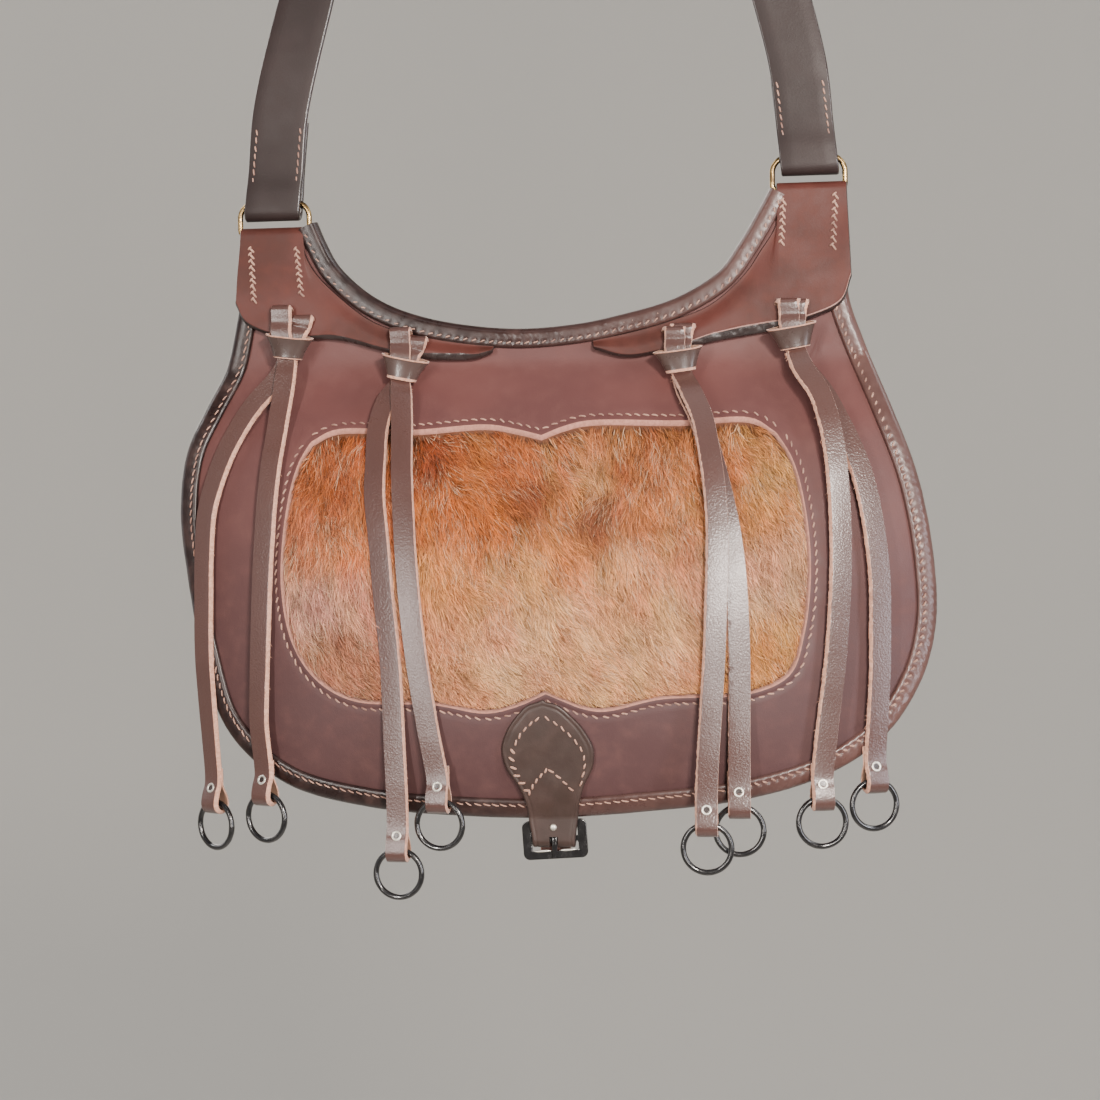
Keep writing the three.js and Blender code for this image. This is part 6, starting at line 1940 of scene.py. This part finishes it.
make_piece("buckle_prong", prong(), [black_steel], body="prong", nodes=["buckle_prong"])
tab_front = bar_y - bar_half - TAB_THICK / 2
dome = [(1.8, 0), (1.78, 0.3), (1.6, 0.62), (1.2, 0.88), (0.6, 1.0), (0.02, 1.03)]
rivet_part = sweep(lathe(dome, np.array([TAB_X, tab_front - 0.05, BUCKLE_Z + 6.8]), (0, -1, 0)), caps=False)
make_piece("tab_rivet", rivet_part, [nickel_plate], nodes=["tab_rivet"])

# %% [markdown]
# ## Pouch
# Behind the flap is a plain pouch: a flat back panel, a front panel and a gusset between them, all in matt
# cowhide. The back is what lies against the hunter's side. Its seam is a row of saddle stitches, and the
# leather sags a little between back and front.

# %% Pouch
SEAM_INSET, GUSSET_INSET, GUSSET_THICK, SEAM_FROM, PANEL_TOP = 13.5, 2.6, 2.4, 4, 6.0
WING_FROM = 0.9                   # the gusset starts and ends this many steps from the edge's ends
BACK_CENTRE = np.array([0.0, -120.0])
seam_low, seam_high = SEAM_FROM / EDGE_STEPS, 1 - SEAM_FROM / EDGE_STEPS
seam_shares = np.linspace(seam_low, seam_high, 145)


def back_panel():
    """Flat sheet: rows run from its middle to its outline, so that the middle can sink a little."""
    seam = inset(edge_line, seam_shares, SEAM_INSET, 1)
    neck_shares = np.linspace(0, 1, 61)
    neck = inset(neck_line, neck_shares, BINDING_COVER, -1)
    left, right = EARS["left"], EARS["right"]
    right_side = [(right["outer"], right["layers"]), (right["outer"], 16), (right["outer"] - 8, 11)]
    left_side = [(left["outer"] + 7, 11), (left["outer"], 16), (left["outer"], left["layers"])]
    outline = np.vstack([neck, right_side, seam[::-1], left_side])
    front, back = [], []
    for share in (1.0, 0.992, 0.97, 0.93, 0.85, 0.72, 0.56, 0.4, 0.25, 0.12, 0.04, 0.0005):
        flat = BACK_CENTRE + (outline - BACK_CENTRE) * share
        x, z = flat.T
        sink = 0.55 * (lattice_noise(x, z, 55, 201) + 0.5 * lattice_noise(x, z, 22, 202))
        sink = np.clip(sink * smooth_step(1 - share, 0.02, 0.2), -0.3, 0.6)
        for grid, y in ((front, -LEATHER), (back, 0.0)):
            grid.append(np.column_stack([flat[:, 0], y - sink, flat[:, 1]]))
    return shell(np.stack(back), np.stack(front), closed=True)


make_piece("back_panel", back_panel(), [pouch_hide, cut_edge], nodes=["back_panel"])


def front_panel():
    """Bulged sheet under the flap: rows run from the pouch's mouth down to the seam."""
    seam = inset(edge_line, seam_shares, SEAM_INSET, 1)
    t = np.linspace(0, 1, len(seam))[:, None]
    mouth = seam[:1] * (1 - t) + seam[-1:] * t
    mouth[:, 1] += 3 - 9 * np.sin(np.pi * t[:, 0])
    grids = []
    for depth in (PANEL_TOP, PANEL_TOP + LEATHER):
        rows = []
        for share in np.linspace(0, 1, 37):
            flat = mouth * (1 - share) + seam * share
            x, z = flat[:, 0], flat[:, 1]
            rows.append(np.stack([x, -plain_depth(x, z) + depth * steepness(x, z), z], -1))
        grids.append(np.stack(rows))
    return shell(*grids)


make_piece("front_panel", front_panel(), [pouch_hide, cut_edge], nodes=["front_panel"])


def gusset():
    """Band between the panels, with soft folds that run from back to front."""
    back_y = -LEATHER - GAP
    shares = np.linspace(WING_FROM / EDGE_STEPS, 1 - WING_FROM / EDGE_STEPS, 169)
    outer = inset(edge_line, shares, SEAM_INSET + GUSSET_INSET, 1)
    into = inward(edge_line, shares, 1)
    x, z = outer.T
    front_y = np.minimum(-plain_depth(x, z) + (PANEL_TOP + LEATHER) * steepness(x, z) + GAP + 0.6, back_y - 3)
    front_y = np.minimum(np.maximum(front_y, LEATHER + 1 - plain_depth(x, z)), back_y - 0.3)
    grids = []
    for extra in (0.0, GUSSET_THICK):
        rows = []
        for share in np.linspace(0, 1, 13):
            y = back_y + (front_y - back_y) * share
            wave = math.sin(math.pi * share) * (0.9 + 0.6 * lattice_noise(shares * 850, 0 * shares, 13, 211))
            flat = outer + into * (extra + wave * 0.8)[:, None]
            rows.append(np.stack([flat[:, 0], y, flat[:, 1]], -1))
        grids.append(np.stack(rows))
    return shell(*grids)


make_piece("gusset", gusset(), [pouch_hide, cut_edge], nodes=["gusset"])


def billet():
    """Strap that the buckle takes, sewn low on the front panel."""
    rows = [layer(TAB_X, z, depth, plain_depth)
            for z, depth in ((-222, 4.1), (-236, 4.1), (-245.6, 4.1), (-251.5, 6.4))]
    low = rows[-1]
    rows += [np.array([TAB_X, low[1] + 1, low[2] - 12]), np.array([TAB_X, low[1] + 1, BUCKLE_Z - 7])]
    section, kinds = rounded_strap(8.0, 1.6, 0.4)
    return ribbon(rows, np.tile([1.0, 0, 0], (len(rows), 1)), section, 8.0, 1.5, kinds)


make_piece("billet", billet(), [pouch_hide, cut_edge], nodes=["billet"])

# %% Seam of the back
seam_at = spread(edge_line, (seam_low, seam_high), 5.2)
flat, ways = inset(edge_line, seam_at, SEAM_INSET + 4.2, 1), edge_line.along(seam_at)
back_seam = stitches(np.column_stack([flat[:, 0], 0 * seam_at + 0.02, flat[:, 1]]),
                     np.column_stack([ways[:, 0], 0 * seam_at, ways[:, 1]]),
                     np.tile([0.0, 1.0, 0.0], (len(seam_at), 1)),
                     length=4.0, slant=14, radius=0.42, rise=0.38, seed=220)
make_piece("stitches_back", back_seam, [thread])
print("pieces:", len(made), "faces:", sum(count for _, count in made))

# %% [markdown]
# ## Stage and light
# The bag hangs in a wide round bowl: a plain pale floor that curves up into a wall without a corner. The
# strongest light on its front is a small lamp in front of it, high up and to the right, like a flash. Tall
# narrow lamps left and right of it draw long streaks down the straps, a wide weak one fills from the left,
# and a soft one from above lights the rings' tops. Two lamps light the back and the left side. The last
# four stand higher than the bag, left and right of it, and light the wall: two behind it, two in front.

# %% Stage
BOWL_FLAT, BOWL_BEND, BOWL_HEIGHT, BOWL_SIDES = 2.2, 1.8, 4.4, 96         # metres
BOWL_PLACE = (0, -0.2, -2.1)


def bowl():
    """Round floor and wall in one smooth sheet."""
    profile = [(0.0, 0.0), (1.2, 0.0), (BOWL_FLAT, 0.0)]
    profile += [(BOWL_FLAT + BOWL_BEND * math.sin(a), BOWL_BEND - BOWL_BEND * math.cos(a))
                for a in np.linspace(0.1, math.pi / 2, 16)]
    profile += [(BOWL_FLAT + BOWL_BEND, height) for height in (2.8, BOWL_HEIGHT)]
    turns = np.linspace(0, 2 * math.pi, BOWL_SIDES, endpoint=False)
    verts = [(r * math.sin(t), r * math.cos(t), h) for r, h in profile for t in turns]
    mesh = bpy.data.meshes.new("stage_bowl")
    mesh.from_pydata(verts, [], grid_faces(len(profile), BOWL_SIDES, closed=True).tolist())
    mesh.polygons.foreach_set("use_smooth", np.ones(len(mesh.polygons), bool))
    piece = bpy.data.objects.new("stage_bowl", mesh)
    bpy.context.scene.collection.objects.link(piece)
    piece.location = BOWL_PLACE
    paint = {"Base Color": colour("#cfccc6"), "Roughness": 0.9}
    mesh.materials.append(new_material("matt_paint_pale_grey", paint)[0])
    return piece


stage = bowl()
stage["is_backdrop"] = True
world = bpy.data.worlds.new("world")
bpy.context.scene.world = world
world.use_nodes = True
background = world.node_tree.nodes["Background"].inputs
background["Color"].default_value = colour("#e9eaee")
background["Strength"].default_value = 0.11


def lamp(name, place, aim, width, height, watts, tone):
    """Rectangular lamp at a place, turned to its aim; sizes are in metres."""
    data = bpy.data.lights.new(name, "AREA")
    data.shape, data.size, data.size_y = "RECTANGLE", width, height
    data.energy, data.color = watts, colour(tone)[:3]
    item = bpy.data.objects.new(name, data)
    bpy.context.scene.collection.objects.link(item)
    item.location = place
    item.rotation_euler = (Vector(aim) - Vector(place)).to_track_quat("-Z", "Y").to_euler()


LAMPS = [                         # name, place, width, height, watts, colour: all aimed at the bag's middle
    ("key", (0.55, -1.3, -0.2), 0.2, 0.18, 25, "#fff4ea"),
    ("left strip", (-0.58, -1.3, -0.5), 0.08, 0.9, 13, "#fff8f2"),
    ("near strip", (0.36, -1.3, -0.62), 0.08, 0.8, 8, "#fff8f2"),
    ("strip", (1.25, -0.75, -0.55), 0.25, 0.9, 12, "#f6f6ff"),
    ("fill", (-1.5, -1.3, -0.35), 1.2, 1.2, 1.2, "#eef2ff"),
    ("top", (0.1, -0.5, 0.95), 1.0, 0.7, 2.2, "#ffffff"),
    ("back", (-0.9, 1.5, 0.1), 1.2, 1.2, 12, "#fff8f2"),
    ("left side", (-1.9, 0.35, -0.3), 1.0, 1.0, 3.5, "#f6f6ff"),
]
BAG_MIDDLE = (0.0, -0.05, -0.66)
for name, place, *settings in LAMPS:
    lamp(name, place, BAG_MIDDLE, *settings)
for side in (-1, 1):
    lamp("wash", (2.4 * side, 0.2, 1.5), (0.9 * side, 3.4, -1.2), 1.4, 1.4, 44, "#ffffff")
    lamp("front wash", (2.0 * side, 1.2, 1.7), (1.6 * side, -3.4, -2.0), 1.4, 1.4, 8, "#ffffff")

# %% Boxes and the table
piece_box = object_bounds()
for name, (low, high) in zip(("solids", "finished"), (cad_box, piece_box)):
    print(name, [round((b - a) * 1000, 1) for a, b in zip(low, high)], "mm")
